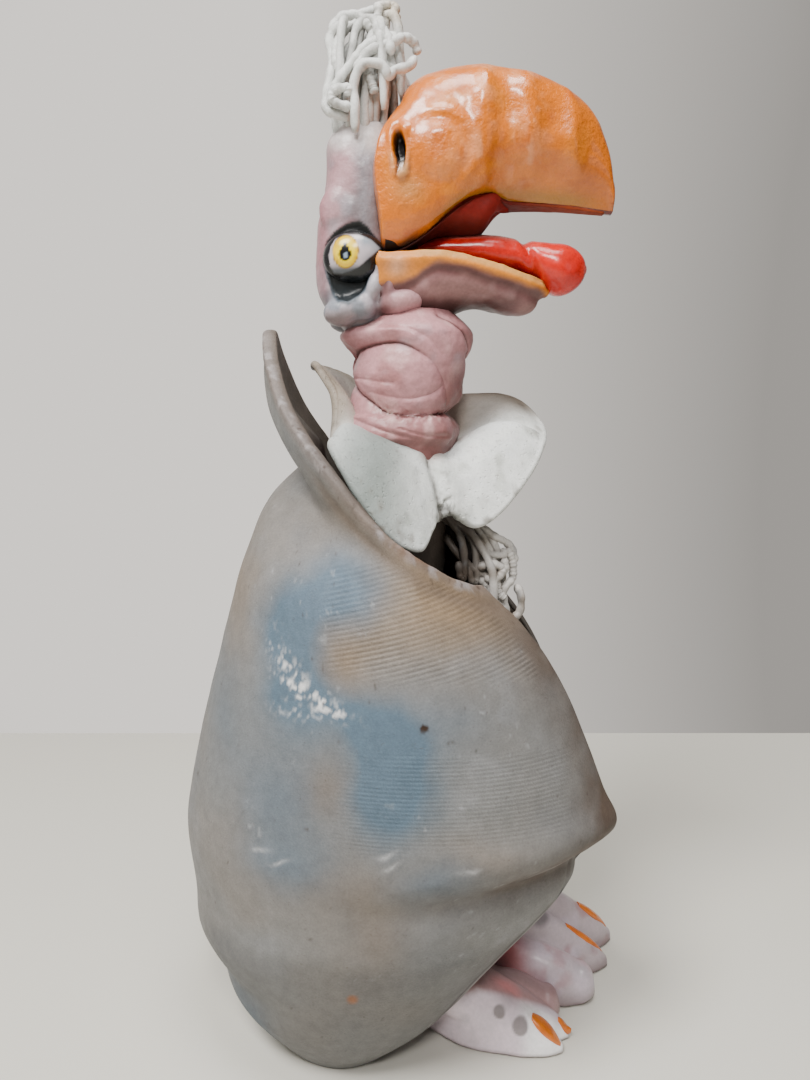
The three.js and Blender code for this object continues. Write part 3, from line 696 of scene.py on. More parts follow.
# Ruffled collar: bearing from the front towards the near side, and shares of reach and rise
COLLAR_EDGE = [[6, 0.96, 0.06], [22, 0.77, -0.41], [36, 0.63, -0.6], [52, 0.56, -0.47], [66, 0.58, -0.53],
               [79, 0.68, -0.76], [95, 0.74, -0.62], [112, 0.76, -0.2], [127, 0.73, 0.18], [140, 0.58, 0.26],
               [154, 0.5, 0.66], [172, 0.57, 0.94], [200, 0.64, 0.95], [235, 0.72, 0.87], [265, 0.77, 0.6],
               [325, 0.89, 0.66], [352, 1, 0.38]]


def curve_point(a, b, c, d, f):
    """A point on the smooth curve from b to c, with knots a and d beyond them."""
    return 0.5 * (2 * b + (c - a) * f + (2 * a - 5 * b + 4 * c - d) * f ** 2
                  + (3 * b - a - 3 * c + d) * f ** 3)


def closed_spline(knots, count):
    knots = np.array(knots, float)
    t = np.arange(count) / count * len(knots)
    i = np.floor(t).astype(int)
    f = (t - i)[:, None]
    a, b, c, d = [knots[(i + k) % len(knots)] for k in (-1, 0, 1, 2)]
    return curve_point(a, b, c, d, f)


def collar():
    count = 420
    rim = closed_spline([[NECK_MIDDLE + COLLAR_REACH * r * math.cos(math.radians(b)),
                          -COLLAR_REACH * r * math.sin(math.radians(b)),
                          NECK_BASE + COLLAR_RISE * h] for b, r, h in COLLAR_EDGE], count)
    bearing = np.degrees(np.arctan2(-rim[:, 1], rim[:, 0] - NECK_MIDDLE)) % 360
    out = rim - [NECK_MIDDLE, 0, 0]
    out[:, 2] = 0
    out /= np.linalg.norm(out, axis=1, keepdims=True)
    root = np.array([NECK_MIDDLE, 0, NECK_BASE - 2]) + out * (NECK_RADIUS - 5)
    root[:, 2] += 10 * bell(bearing, 80, 62)
    steps = 46
    arc = np.linspace(0, np.pi, 10)[1:-1]
    outer = np.linspace(0, 1, steps)
    share = np.concatenate([outer, np.ones(len(arc)), outer[::-1], np.zeros(len(arc))])
    across = np.concatenate([np.ones(steps), np.cos(arc), -np.ones(steps), -np.cos(arc)])
    lift = np.concatenate([np.zeros(steps), np.sin(arc), np.zeros(steps), -np.sin(arc)])
    v = np.repeat(share, count)
    b = np.tile(bearing, len(share))
    here = np.tile(root, (len(share), 1)) * (1 - v[:, None]) + np.tile(rim, (len(share), 1)) * v[:, None]
    crown = 5 + 3.0 * bell(b, 104, 18) + 2.5 * bell(b, 8, 22) - 3.4 * bell(b, 60, 13)
    here[:, 2] += crown * 4 * v * (1 - v) * (0.6 + 0.8 * v)
    ragged = v ** 6 * bell(b, 56, 8) * (0.14 * noise(here, 1.6, 81, 2) + 0.08)
    here[:, :2] += (np.array([NECK_MIDDLE, 0]) - here[:, :2]) * ragged[:, None]
    shape = here.reshape(len(share), count, 3)
    along = np.roll(shape, -1, 1) - np.roll(shape, 1, 1)
    inward = np.tile(root - rim, (len(share), 1)).reshape(shape.shape)
    normal = np.cross(along, inward).reshape(-1, 3)
    normal /= np.linalg.norm(normal, axis=1, keepdims=True)
    normal *= np.sign(normal[:, 2:3].mean())
    half = (1.9 - 0.55 * v) * (1 + 0.15 * noise(here, 8, 82, 2))
    warp = 0.7 * noise(here, 9, 83, 3) * ramp(v, 0.1, 0.5) - 1.3 * bell(b, 61, 5) * ramp(v, 0.15, 0.5)
    points = here + normal * (half * np.repeat(across, count) + warp)[:, None]
    points += np.tile(rim - root, (len(share), 1)) / 30 * (np.repeat(lift, count) * half)[:, None]
    faces = outward(points, grid_faces(len(share), count, around_rows=True, around_columns=True))
    colours, coat, patches = painter(points, "d9dbd8")
    coat("dfe2e2", 0.6 * patches(9, 84, 3, -0.1, 0.5))
    coat("a9aca4", 0.6 * patches(6, 85, 3, 0.1, 0.6))
    coat("b59a92", 0.6 * ramp(v, 0.55, 0.3) * patches(8, 86, 2, -0.4, 0.4))
    # The near leaf is painted darker grey as shade.
    coat("747d79", 0.9 * bell(b, 108, 25))
    # Tan on the far side, partly the slip's stain and partly painted shade from the beak and neck, darker
    # towards its edge.
    far = ramp(b, 126, 150) * ramp(b, 357, 337)
    coat("93816c", 0.85 * far * (0.75 + 0.35 * noise(points, 12, 87, 2)))
    coat("70614f", 0.6 * far * ramp(v, 0.7, 1.0))
    # A dark line of painted shade in the fold of the valley, with dirt spots beside it and further round on
    # the near side.
    dirt_and_fold_shade = (0.8 * bell(b, 61, 2.5) * ramp(v, 0.3, 0.7)
            + bell(b, 58, 9) * patches(3.2, 88, 3, 0.12, 0.4)
            + 0.6 * bell(b, 88, 9) * patches(2.4, 79, 2, 0.45, 0.7))
    coat("453e35", 0.85 * np.minimum(dirt_and_fold_shade, 1))
    coat("2c2722", bell(b, 55, 8) * ramp(v, 0.93, 1.0) * 0.7)
    coat("6d645a", 0.6 * ramp(v, 0.85, 1) * patches(3, 89, 2, 0.2, 0.6))
    make("collar", points, faces, COLLAR_SLIP, colours)


# Head: forms melted together, then modelled and painted

NAPE = [[0, 0.65], [0.1, 0.87], [0.22, 1], [0.5, 1], [0.75, 0.9], [0.92, 0.89], [1, 0.77]]
HEAD_WIDTH = [[0, 0.75], [0.15, 0.95], [0.4, 1], [0.7, 0.94], [0.9, 0.8], [1, 0.5]]


def egg(middle, radii, tilt, steps=28):
    """An ellipsoid, tilted about Y by some degrees."""
    def place(share, angle, open_by):
        lat = (share - 0.5) * np.pi
        return xyz(np.cos(lat) * np.cos(angle), np.cos(lat) * np.sin(angle), np.sin(lat))

    points, faces, _, _ = tube_skin(place, steps, steps, cap_rows=1)
    x, y, z = (points * np.array(radii, float)).T
    c, s = math.cos(math.radians(tilt)), math.sin(math.radians(tilt))
    return xyz(z * s + x * c, y, z * c - x * s) + np.array(middle, float), faces


def gathered(parts):
    points, faces, start = [], [], 0
    for p, f in parts:
        points.append(p)
        faces += [[i + start for i in face] for face in f]
        start += len(p)
    return np.concatenate(points), faces


def melted(parts, step, rounds, factor=0.5):
    """One skin over overlapping parts, its joins smoothed."""
    points, faces = gathered(parts)
    mesh = bpy.data.meshes.new("lump")
    mesh.from_pydata(points.tolist(), [], faces)
    lump = bpy.data.objects.new("lump", mesh)
    bpy.context.scene.collection.objects.link(lump)
    remesh = lump.modifiers.new("skin", "REMESH")
    remesh.mode = "VOXEL"
    remesh.voxel_size = step
    smooth = lump.modifiers.new("ease", "SMOOTH")
    smooth.factor = factor
    smooth.iterations = rounds
    done = lump.evaluated_get(bpy.context.evaluated_depsgraph_get()).to_mesh()
    count = len(done.vertices)
    points = np.empty(count * 3)
    done.vertices.foreach_get("co", points)
    faces = [list(p.vertices) for p in done.polygons]
    bpy.data.objects.remove(lump)
    bpy.data.meshes.remove(mesh)
    return points.reshape(-1, 3), faces


def head():
    def block(share, angle, open_by):
        back = HEAD_BACK * through(NAPE, share)
        return xyz((HEAD_FRONT + back) / 2 + open_by * ((HEAD_FRONT - back) / 2) * superround(angle, 0.75),
                   open_by * (HEAD_HALF_WIDTH - 1.2) * through(HEAD_WIDTH, share) * np.sin(angle),
                   HEAD_BOTTOM + share * (HEAD_TOP - HEAD_BOTTOM))

    parts = [tube_skin(block, 48, 40)[:2]]
    for side in (-1, 1):
        parts += [
            # Brow over the eye
            egg((-21, side * 9.2, 280), (8.5, 4.2, 8.5), 10),
            # Sagging bag, from the back of the eye round to its front corner
            egg((-22, side * 10.5, 250.0), (6.6, 7, 4.6), -14),
            egg((-16.5, side * 11.5, 251.5), (5.0, 5.6, 4.4), 25),
            egg((-12.6, side * 12, 257), (2.6, 4.4, 5.4), 22),
            egg((-10.4, side * 12, 263), (2.0, 3.8, 5.0), 12),
            # Cheek behind the corner of the mouth, and fold under the jaw
            egg((-8.0, side * 12, 258.5), (2.4, 4.0, 6), 4),
            egg((-4.5, side * 9.5, 253), (8, 6.2, 4.6), -8),
        ]
    points, faces = melted(parts, 0.55, 9)
    x, y, z = points.T
    side = ramp(np.abs(y), 6, 9)
    hollow = inside_lines(x, z, HOLLOW_LOW, HOLLOW_TOP, 0.9) * side
    move = 0.35 * noise(points, 5.5, 91, 3) + 0.1 * noise(points, 1.6, 92, 2) - 0.8 * hollow
    points = pushed(points, faces, move)
    make("head", points, faces, SKIN, head_paint(points, x, z, side, hollow))


def head_paint(points, x, z, side, hollow):
    """Colours of the head: x and z are as before its relief, and hollow is 1 in the socket of the eye."""
    colours, coat, patches = painter(points, "ab858a")
    coat("8f666e", 0.6 * patches(8, 93, 3, -0.1, 0.5))
    coat("c2b3b8", 0.5 * patches(6, 97, 3, 0.1, 0.6))
    coat("6c6d72", 0.85 * ramp(x, -20.5, -15.5) * ramp(z, 266, 276))
    # Painted shade on the brow above the eye.
    coat("5b5a5c", 0.75 * spot((x + 19) / 3.6, (z - 280) / 6.0) * side)
    coat("8e8b92", 0.6 * patches(7, 94, 2, 0.1, 0.5) * ramp(z, 268, 276))
    coat("cbc6c4", 0.8 * ramp(z, 294, 302 + 2 * noise(points, 3, 95)))
    bag = ramp(z, 266, 259) * ramp(x, -9.3, -11) * ramp(z, 242, 246)
    bag = np.maximum(bag, spot((x + 11) / 2.2, (z - 263.5) / 5.5, 0.9) * side)
    coat("aba7ae", 0.95 * bag)
    # The bag darker pinkish brown towards its underside: partly its own colour, partly painted shade.
    coat("7d6a6a", 0.7 * bag * ramp(z, 252, 247))
    coat("737b84", 0.75 * bag * patches(4, 96, 2, -0.1, 0.45))
    coat("9f7077", 0.7 * ramp(x, -25, -28.5) * ramp(z, 250, 258))
    wide = inside_lines(x, z + 1.3, HOLLOW_LOW, HOLLOW_TOP, 1.9) * side
    coat("39444c", 0.95 * ramp(wide, 0.05, 0.6))
    coat("20272b", 0.95 * ramp(hollow, 0.02, 0.3))
    coat("090b0c", 0.98 * ramp(hollow, 0.25, 0.75) * (0.35 + 0.65 * ramp(z, 255, 260)))
    coat("0d0f10", 0.95 * spot((x + 9.2) / 2.4, (z - 268.4) / 1.9))
    coat("4d2b26", 0.9 * bell(x, -9.0, 1.3) * bell(z, 258.5, 6.5) * side)
    # Painted shade under the head and behind the corner of the mouth, where the jaw meets the neck.
    under = ramp(z, 246.5, 243.5) + spot((x + 9.5) / 3, (z - 250) / 3)
    coat("4a2625", 0.8 * np.minimum(under, 1))
    coat("c08f90", 0.6 * spot((x + 3) / 7, (z - 253) / 3))
    return colours


EYE_TOP = [[-26.1, 266.2], [-25.6, 268.4], [-24.1, 270.7], [-21, 272], [-17.1, 271.9], [-15.8, 271.5],
           [-13.2, 270.4], [-10.6, 268.3]]
EYE_LOW = [[-26.1, 265.8], [-25.9, 262.9], [-24.8, 260.9], [-22.2, 260.6], [-19.6, 261.2], [-16.9, 262.4],
           [-14.8, 264.2], [-12.8, 265.9], [-11.2, 267.5], [-10.6, 268.1]]
HOLLOW_TOP = [[-28.3, 266.8], [-27.4, 270.3], [-24.8, 272.9], [-20.6, 275.2], [-16.9, 276], [-14.3, 274.3],
              [-11.8, 271.3], [-9.7, 269.3]]
HOLLOW_LOW = [[-28.3, 264.3], [-26.8, 260.3], [-25.8, 256.7], [-23.5, 253.4], [-20.3, 252.6], [-17.1, 254.7],
              [-15, 258.2], [-13.4, 262.3], [-11.8, 265.8], [-9.7, 267.6]]


def inside_lines(x, z, low, top, soft):
    """1 between a lower and an upper line, fading out over the soft width."""
    low, top = np.array(low), np.array(top)
    bottom, roof = np.interp(x, low[:, 0], low[:, 1]), np.interp(x, top[:, 0], top[:, 1])
    ends = ramp(x, low[0, 0] - soft, low[0, 0] + soft) * ramp(x, low[-1, 0] + soft, low[-1, 0] - soft)
    return ends * ramp(z, bottom - soft, bottom + soft) * ramp(z, roof + soft, roof - soft)


def eyes():
    for side, name in ((-1, "eye_right"), (1, "eye_left")):
        middle = np.array([-18.8, side * 10.6, 266.0])
        points, faces = egg(middle, (9.6, 6.4, 8.2), -5, steps=96)
        x, _, z = points.T
        colours, coat, patches = painter(points, "bdb2b8")
        # The eyeball greyer at its top, front and bottom: painted shade under the lids.
        coat("7e8b95", 0.9 * ramp(z, 266.5, 270.5) * ramp(x, -18, -15))
        coat("8b949c", 0.7 * ramp(x, -14.5, -11.5))
        coat("39444c", 0.9 * ramp(z, 263.6, 261.4))
        coat("5f6d78", 0.6 * ramp(x, -16.5, -13.5) * ramp(z, 268, 264))
        iris = np.hypot((x + 21.0) / 4.0, (z - 266.9) / 4.9)
        coat("8c6a10", ramp(iris, 1.07, 0.99))
        coat("e0b70f", ramp(iris, 1.0, 0.9))
        coat("f0d21c", ramp(iris, 0.85, 0.6))
        coat("b98d12", 0.6 * patches(2.0, 101, 2, 0.0, 0.5) * ramp(iris, 1.1, 0.95))
        drop = np.clip((z - 266.2) / 3.4, 0, 1)
        narrow = 1.95 * (1 - 0.72 * drop)
        pupil = np.hypot((x + 21.1) / narrow, (z - 266.2) / np.where(z > 266.2, 3.5, 2.2))
        coat("0b0d10", ramp(pupil, 1.1, 0.9))
        # A painted highlight, a glint on the pupil.
        coat("8fa3b5", 0.8 * ramp(np.hypot((x + 20.9) / 0.6, (z - 265.6) / 1.0), 1.15, 0.7))
        shown = inside_lines(x, z, EYE_LOW, EYE_TOP, 0.45)
        coat("0b0e10", 0.98 * (1 - shown))
        make(name, points, faces, EYE, colours)


# Beak, jaw and tongue

BEAK_TOP = [[0, 0.8], [0.06, 0.88], [0.18, 0.955], [0.4, 1], [0.65, 0.96], [0.82, 0.87],
            [0.92, 0.76], [0.975, 0.62], [1, 0.44]]
BEAK_EDGE = [[0, 0.02], [0.07, 0.02], [0.2, 0.1], [0.36, 0.24], [0.5, 0.29], [0.75, 0.29], [1, 0.26]]
BEAK_WIDTH = [[0, 0.92], [0.15, 1], [0.4, 0.93], [0.7, 0.68], [0.9, 0.4], [1, 0.2]]


def top_edge(share):
    """Height of the lower edge of the beak's side."""
    return BEAK_FLOOR + (BEAK_CROWN - BEAK_FLOOR) * through(BEAK_EDGE, share)


def palate_hollow(share, y, half):
    """How far the roof of the mouth is hollowed above the edge of the beak."""
    reach = 5.0 * ramp(share, 0.56, 0.42) * ramp(share, 0.1, 0.35)
    return reach * np.clip(1 - (y / np.maximum(half - 3.2, 1)) ** 2, 0, 1)


def beak():
    def place(share, angle, open_by):
        top = BEAK_FLOOR + (BEAK_CROWN - BEAK_FLOOR) * through(BEAK_TOP, share)
        low = top_edge(share)
        half = BEAK_HALF_WIDTH * through(BEAK_WIDTH, share)
        sine = np.sin(angle)
        square = np.where(sine < 0, 0.45, 0.8)
        across = superround(angle, square)
        up = np.sign(sine) * np.abs(sine) ** square
        across *= 1 - 0.62 * ramp(share, 0.3, 0.65) * ramp(up, 0.0, -0.95)
        lower = (sine < 0) * palate_hollow(share, across * half, half) * open_by
        z = (top + low) / 2 + open_by * ((top - low) / 2) * up + lower
        root = (1 - share) ** 7 * (1.2 - 2.0 * bell(z, 290, 9) + 5.5 * ramp(z, 298, 313))
        return xyz(BEAK_ROOT + root + BEAK_LENGTH * share, open_by * half * across, z)

    points, faces, share, angle = tube_skin(place, 260, 200, start=(-1.6, 0, 0), end=(0.9, 0, -1.0))
    x, y, z = points.T
    side = ramp(np.abs(y), 3, 9)
    half = BEAK_HALF_WIDTH * through(BEAK_WIDTH, share)
    hollow = palate_hollow(share, y, half)
    under = np.where((np.sin(angle) < 0) & (z < top_edge(share) + 0.9 + hollow), 1.0, 0.0)
    skin = 1 - under
    wobble = 2.6 * noise(points, 12, 111, 3)
    ridges = (1.3 * bell(x + wobble, 20.5, 3.4) + 1.2 * bell(x + wobble, 34.5, 3.6)
              + 0.9 * bell(x + wobble, 48.5, 3.2))
    dents = -1.2 * spot(x - 27, (z - 307) * 0.7, 4.6) - 0.9 * spot(x - 41.5, z - 305, 5.0)
    dents += -0.7 * spot(x - 55, z - 298, 5)
    disk = np.hypot(x - 7.2, z - 295.1)
    swell = 1.7 * ramp(disk, 10.5, 3.5) + 0.8 * bell(disk, 10.6, 1.6) * ramp(x + (z - 295) * 0.6, 6, 12)
    hole = np.hypot((x + 4.7 + 0.1 * (z - 295.7)) / 1.8, (z - 295.7) / 4.7)
    lip = 1.0 * bell(hole, 1.5, 0.4) * (0.5 + 0.8 * ramp(z, 294, 288))
    lip += 0.8 * spot(x + 2.6, z - 300.5, 1.6)
    pit = -4.0 * ramp(hole, 1.1, 0.7)
    upper = ramp(z, 282, 290)
    move = skin * side * (ridges * upper * ramp(z, 324, 316) + dents + swell + lip + pit)
    move += skin * (0.5 * noise(points, 11, 112, 2) + 0.12 * noise(points, 3, 113, 2))
    move += under * 0.25 * noise(points, 6, 114, 2)
    points = pushed(points, faces, move)
    make("beak", points, faces, BEAK, beak_paint(points, skin, side, hole, wobble))


def beak_paint(points, skin, side, hole, wobble):
    """Colours of the beak: skin is 1 outside the mouth, side on its sides, and hole 1 on the nostril's rim."""
    under = 1 - skin
    x, _, z = points.T
    low = top_edge(np.clip((x - BEAK_ROOT) / BEAK_LENGTH, 0, 1))
    colours, coat, patches = painter(points, "cd6a06")
    coat("db7d16", 0.6 * patches(9, 115, 3, 0.0, 0.5))
    coat("b75205", 0.6 * patches(7, 116, 3, 0.05, 0.55))
    coat("a85405", 0.6 * ramp(x, 40, 58) * ramp(z, 314, 296))
    coat("8f6a1e", 0.75 * skin * bell(z - low, 2.2, 2.6) * ramp(x, 2, 12) * ramp(x, 66, 46))
    # Pinkish streaks on the ridges of the beak's upper side are painted highlights.
    painted_highlight = bell(x + wobble, 19, 4.5) + bell(x + wobble, 33, 5) + 0.6 * bell(x + wobble, 10, 6)
    painted_highlight *= ramp(z, 281, 296) * patches(3.5, 117, 3, -0.15, 0.35)
    coat("f0a878", 0.5 * skin * side * np.minimum(painted_highlight, 1))
    coat("b08a55", 0.5 * skin * side * spot(x + 2, (z - 284) * 1.2, 5))
    coat("cfa070", 0.85 * skin * side * bell(hole, 1.5, 0.34) * ramp(z, 296, 290))
    coat("8a4a18", 0.7 * skin * side * bell(hole, 1.95, 0.2) * ramp(z, 294, 289))
    # Painted shade inside the nostril.
    coat("0b0705", skin * side * ramp(hole, 1.1, 0.9))
    # Painted shade at the corner of the mouth, under the root of the beak.
    coat("33322f", 0.9 * skin * ramp(z, low + 4, low + 1) * ramp(x, 4, -2))
    coat("5c100a", 0.97 * under)
    # Darker towards the back under the beak: painted shade deep in the mouth.
    coat("300a08", 0.8 * under * ramp(x, 24, 4))
    coat("6a2408", 0.9 * skin * ramp(z - low, 1.1, 0.1) * ramp(x, -1, 6))
    return colours


def palate():
    """The dark red roof of the mouth, just proud of the beak's underside."""
    def place(share, angle, open_by):
        whole = BEAK_HALF_WIDTH * through(BEAK_WIDTH, share)
        half = whole * 0.72 * (1 - 0.6 * ramp(share, 0.3, 0.65))
        side = np.cos(angle)
        hollow = palate_hollow(share, side * half, whole)
        sine = np.sin(angle)
        lift = np.where(sine < 0, -0.25 * np.abs(sine) ** 0.3, 1.6 * sine)
        z = top_edge(share) + hollow + open_by * lift
        return xyz(BEAK_ROOT + BEAK_LENGTH * share, open_by * half * side, z)

    points, faces, share, _ = tube_skin(lambda s, a, o: place(0.04 + 0.93 * s, a, o), 80, 100)
    points = pushed(points, faces, 0.12 * noise(points, 3, 118, 2))
    colours, coat, _ = painter(points, "5a100a")
    # Darker towards the root: painted shade deep in the mouth.
    coat("240806", 0.9 * ramp(share, 0.35, 0.08))
    coat("8a3a10", 0.7 * ramp(share, 0.5, 0.9))
    make("palate", points, faces, PALATE, colours)


def throat():
    """The dark red mass behind the tongue, between the beak and the jaw."""
    def place(share, angle, open_by):
        up = np.sin(angle)
        top = 274 + 14 * ramp(share, 0, 0.8)
        low = 266 + 7.2 * ramp(share, 0.1, 0.7)
        half = 15.5 - 4.0 * share
        return xyz(-9 + (30 + 3 * up) * share, open_by * half * np.cos(angle),
                   (top + low) / 2 + open_by * (top - low) / 2 * up)

    points, faces, share, _ = tube_skin(place, 96, 60, end=(6.0, 0, 1.0), cap_rows=12)
    points = pushed(points, faces, 0.4 * noise(points, 6, 121, 2))
    colours, coat, _ = painter(points, "7a160e")
    coat("50100a", ramp(points[:, 2], 280, 274))
    # Near black towards the back: painted shade deep in the mouth.
    coat("0f0605", ramp(share, 0.55, 0.2))
    make("throat", points, faces, PALATE, colours)


JAW_TOP = [[0, 0], [0.4, 0.02], [0.65, -0.12], [0.9, -0.3], [1, -0.36]]
JAW_BOTTOM = [[0, -1], [0.3, -0.95], [0.55, -0.7], [0.8, -0.8], [0.93, -0.75], [1, -0.55]]
JAW_WIDTH = [[0, 1], [0.4, 0.93], [0.7, 0.78], [0.88, 0.58], [0.96, 0.36], [1, 0.12]]


def jaw():
    def place(share, angle, open_by):
        top = JAW_HEIGHT + JAW_DEPTH * through(JAW_TOP, share)
        low = JAW_HEIGHT + JAW_DEPTH * through(JAW_BOTTOM, share)
        half = JAW_HALF_WIDTH * through(JAW_WIDTH, share)
        sine, cosine = np.sin(angle), np.cos(angle)
        inner = np.clip(1 - (cosine * half / np.maximum(half - 3.0, 0.8)) ** 2, 0, 1)
        upper = -0.45 * (top - low) * inner * open_by + 0.9 * (1 - inner) * ramp(sine, 0, 0.3)
        return xyz(BEAK_ROOT + JAW_LENGTH * share, open_by * half * np.sign(cosine) * np.abs(cosine) ** 0.85,
                   top + np.where(sine > 0, upper, open_by * sine * (top - low)))

    points, faces, share, angle = tube_skin(place, 200, 150, end=(0.9, 0, -0.5))
    x, _, z = points.T
    top = JAW_HEIGHT + JAW_DEPTH * through(JAW_TOP, share)
    below = top - z
    outer = np.where(np.sin(angle) < 0.05, 1, 0)
    rim = 0.9 * bell(below, 1.8, 1.9) - 0.8 * bell(below, 5.0 + 6.0 * ramp(x, 8, -5), 1.8)
    move = outer * rim + 0.5 * noise(points, 8, 131, 3) + 0.12 * noise(points, 2.2, 132, 2)
    points = pushed(points, faces, move)
    colours, coat, patches = painter(points, "8f6866")
    coat("70484a", 0.65 * patches(8, 133, 3, -0.1, 0.5))
    coat("ab8685", 0.55 * patches(6, 134, 2, 0.15, 0.6))
    band = 2.8 + 6.0 * ramp(x, 8, -5)
    band = band + 0.9 * noise(points, 5, 135, 2)
    orange = ramp(below, band + 1.2, band - 1.2) * ramp(np.sin(angle), 0.85, 0.7)
    coat("d98428", orange)
    coat("c89a5c", orange * 0.7 * ramp(below, 1.6, 0.4) * ramp(x, -4, 4))
    coat("d9a98a", 0.65 * orange * spot(x + 5.5, z - 262.5, 3.2))
    # A dark line of painted shade in the groove below the orange band.
    coat("4f2a28", 0.65 * bell(below, band + 1.6, 1.5) * outer)
    coat("6e4a46", 0.6 * ramp(x, 35, 40) * ramp(below, 2.0, 3.4) * outer)
    # Painted shade under the back of the jaw, near the neck.
    coat("2f1311", 0.9 * outer * ramp(z, 256, 251.5) * ramp(x, 36, 22))
    # Painted shade on the jaw's inner floor, inside the mouth.
    coat("2c0b09", 0.95 * ramp(np.sin(angle), 0.7, 0.85))
    make("jaw", points, faces, SKIN, colours)


TONGUE_TOP = [[0, 0.74], [0.2, 0.97], [0.45, 1], [0.65, 0.86], [0.8, 0.78], [1, 0.74]]
TONGUE_LOW = [[0, 0.3], [0.2, 0.1], [0.45, -0.05], [0.62, -0.2], [0.72, -0.44], [0.83, -0.74],
              [1, -0.7]]
TONGUE_WIDTH = [[0, 0.75], [0.4, 0.85], [0.66, 0.78], [0.82, 1], [1, 1]]


def tongue():
    def place(share, angle, open_by):
        top = TONGUE_HEIGHT + TONGUE_DEPTH * through(TONGUE_TOP, share)
        low = TONGUE_HEIGHT + TONGUE_DEPTH * through(TONGUE_LOW, share)
        half = TONGUE_HALF_WIDTH * through(TONGUE_WIDTH, share)
        open_by = open_by * np.sqrt(1 - 0.97 * np.clip((share - 0.82) / 0.18, 0, 1) ** 2.2)
        return xyz(HEAD_FRONT + 7 + (TONGUE_LENGTH - 1) * share, open_by * half * np.cos(angle),
                   (top + low) / 2 + open_by * (top - low) / 2 * np.sin(angle))

    points, faces, share, angle = tube_skin(place, 140, 180, end=(0.4, 0, 0), cap_rows=6)
    x, y, z = points.T
    facet = -0.6 * spot(x - 51, z - 264, 5.5) * ramp(np.abs(y), 3, 6)
    groove = -0.7 * bell(y, 0, 2.2) * ramp(np.sin(angle), 0.4, 0.9) * ramp(share, 0.9, 0.6)
    neck_in = -1.3 * bell(x - 35.5 - 0.3 * (270 - z), 0, 1.7)
    points = pushed(points, faces, facet + groove + neck_in + 0.3 * noise(points, 6, 141, 2))
    colours, coat, patches = painter(points, "c81e12")
    coat("ae2015", 0.6 * patches(6, 142, 3, 0.0, 0.5))
    coat("e34a36", 0.5 * patches(5, 143, 2, 0.15, 0.6))
    coat("b58a80", 0.75 * ramp(np.sin(angle), 0.45, 0.9) * ramp(share, 0.12, 0.25)
         * ramp(share, 0.8, 0.45))
    make("tongue", points, faces, MOUTH, colours)


# Feet: each toe runs from x, y to x, y, with its height and whether it has a claw

TOE_TOP = [[0, 0.4], [0.3, 1], [0.6, 0.78], [0.8, 0.5], [0.93, 0.3], [1, 0.14]]
TOE_WIDTH = [[0, 0.35], [0.3, 1], [0.6, 0.95], [0.8, 0.8], [0.93, 0.52], [1, 0.24]]
BLUNT_TOP = [[0, 0.5], [0.3, 1], [0.6, 0.92], [0.8, 0.8], [1, 0.6]]
BLUNT_WIDTH = [[0, 0.35], [0.3, 0.95], [0.6, 1.05], [0.85, 1.05], [1, 0.8]]
NEAR_TOES = [(5, -8, 51, -22, 22, (0.79, 1.0, 3.1)), (8, -6, 54.5, -15, 21, (0.93, 1.03, 1.6)),
             (10, -2, 48, -4, 17, None)]
FAR_TOES = [(20, 14, 63, 6, 20, None), (22, 18, 77, 23, 28, (0.7, 0.98, 1.9)),
            (24, 22, 82, 39, 33, (0.76, 0.98, 2.6))]


def toe_place(toe):
    x0, y0, x1, y1, height, claw_marks = toe
    length = math.hypot(x1 - x0, y1 - y0)
    heading = math.atan2(y1 - y0, x1 - x0)
    blunt = claw_marks is None
    tops, widths = (BLUNT_TOP, BLUNT_WIDTH) if blunt else (TOE_TOP, TOE_WIDTH)

    def stand(x, y, z):
        return xyz(x0 + x * math.cos(heading) - y * math.sin(heading),
                   y0 + x * math.sin(heading) + y * math.cos(heading), z)

    def flesh(share, angle, open_by):
        sine = np.sin(angle)
        up = np.abs(sine) ** (0.8 if blunt else 1.1)
        over = open_by * height * through(tops, share) * up
        return stand(length * share, open_by * 8.5 * through(widths, share) * superround(angle, 0.75),
                     np.where(sine > 0, over, open_by * sine * 0.4) + 0.5)

    def claw(share, angle, open_by):
        first, last, half = claw_marks
        along = first + (last - first) * share
        taper = np.sin(np.pi * (0.16 + 0.8 * share)) ** 0.8
        over = height * through(tops, np.minimum(along, 1)) + open_by * (0.5 + 1.3 * taper) * np.sin(angle)
        return stand(length * along, open_by * half * taper * superround(angle, 0.8) - 0.6, over - 0.2)

    reach = 6.0 if blunt else 1.0
    turned = (reach * math.cos(heading), reach * math.sin(heading), 2.0 if blunt else 0.0)
    return flesh, claw, turned


def near_foot_paint(points):
    x, y, z = points.T
    colours, coat, patches = painter(points, "dccdd6")
    # The white front of the near toe, its pale glaze whitened further as a painted highlight.
    coat("ffffff", 0.85 * ramp(x, 34, 42) * ramp(y, -14, -18))
    coat("a8817f", 0.85 * ramp(y + 0.5 * (z - 12), -15.5, -12.5))
    coat("d48687", 0.8 * spot((x - 33) / 6, (y + 13) / 4))
    coat("84696a", 0.6 * ramp(y, -10, -4))
    for sx, sz, r in ((36.5, 10.5, 2.7), (29.5, 14.5, 2.0)):
        coat("857c7d", 0.9 * ramp(np.hypot(x - sx, z - sz), r + 0.5, r - 0.4) * ramp(y, -9, -12))
    return colours, coat, patches


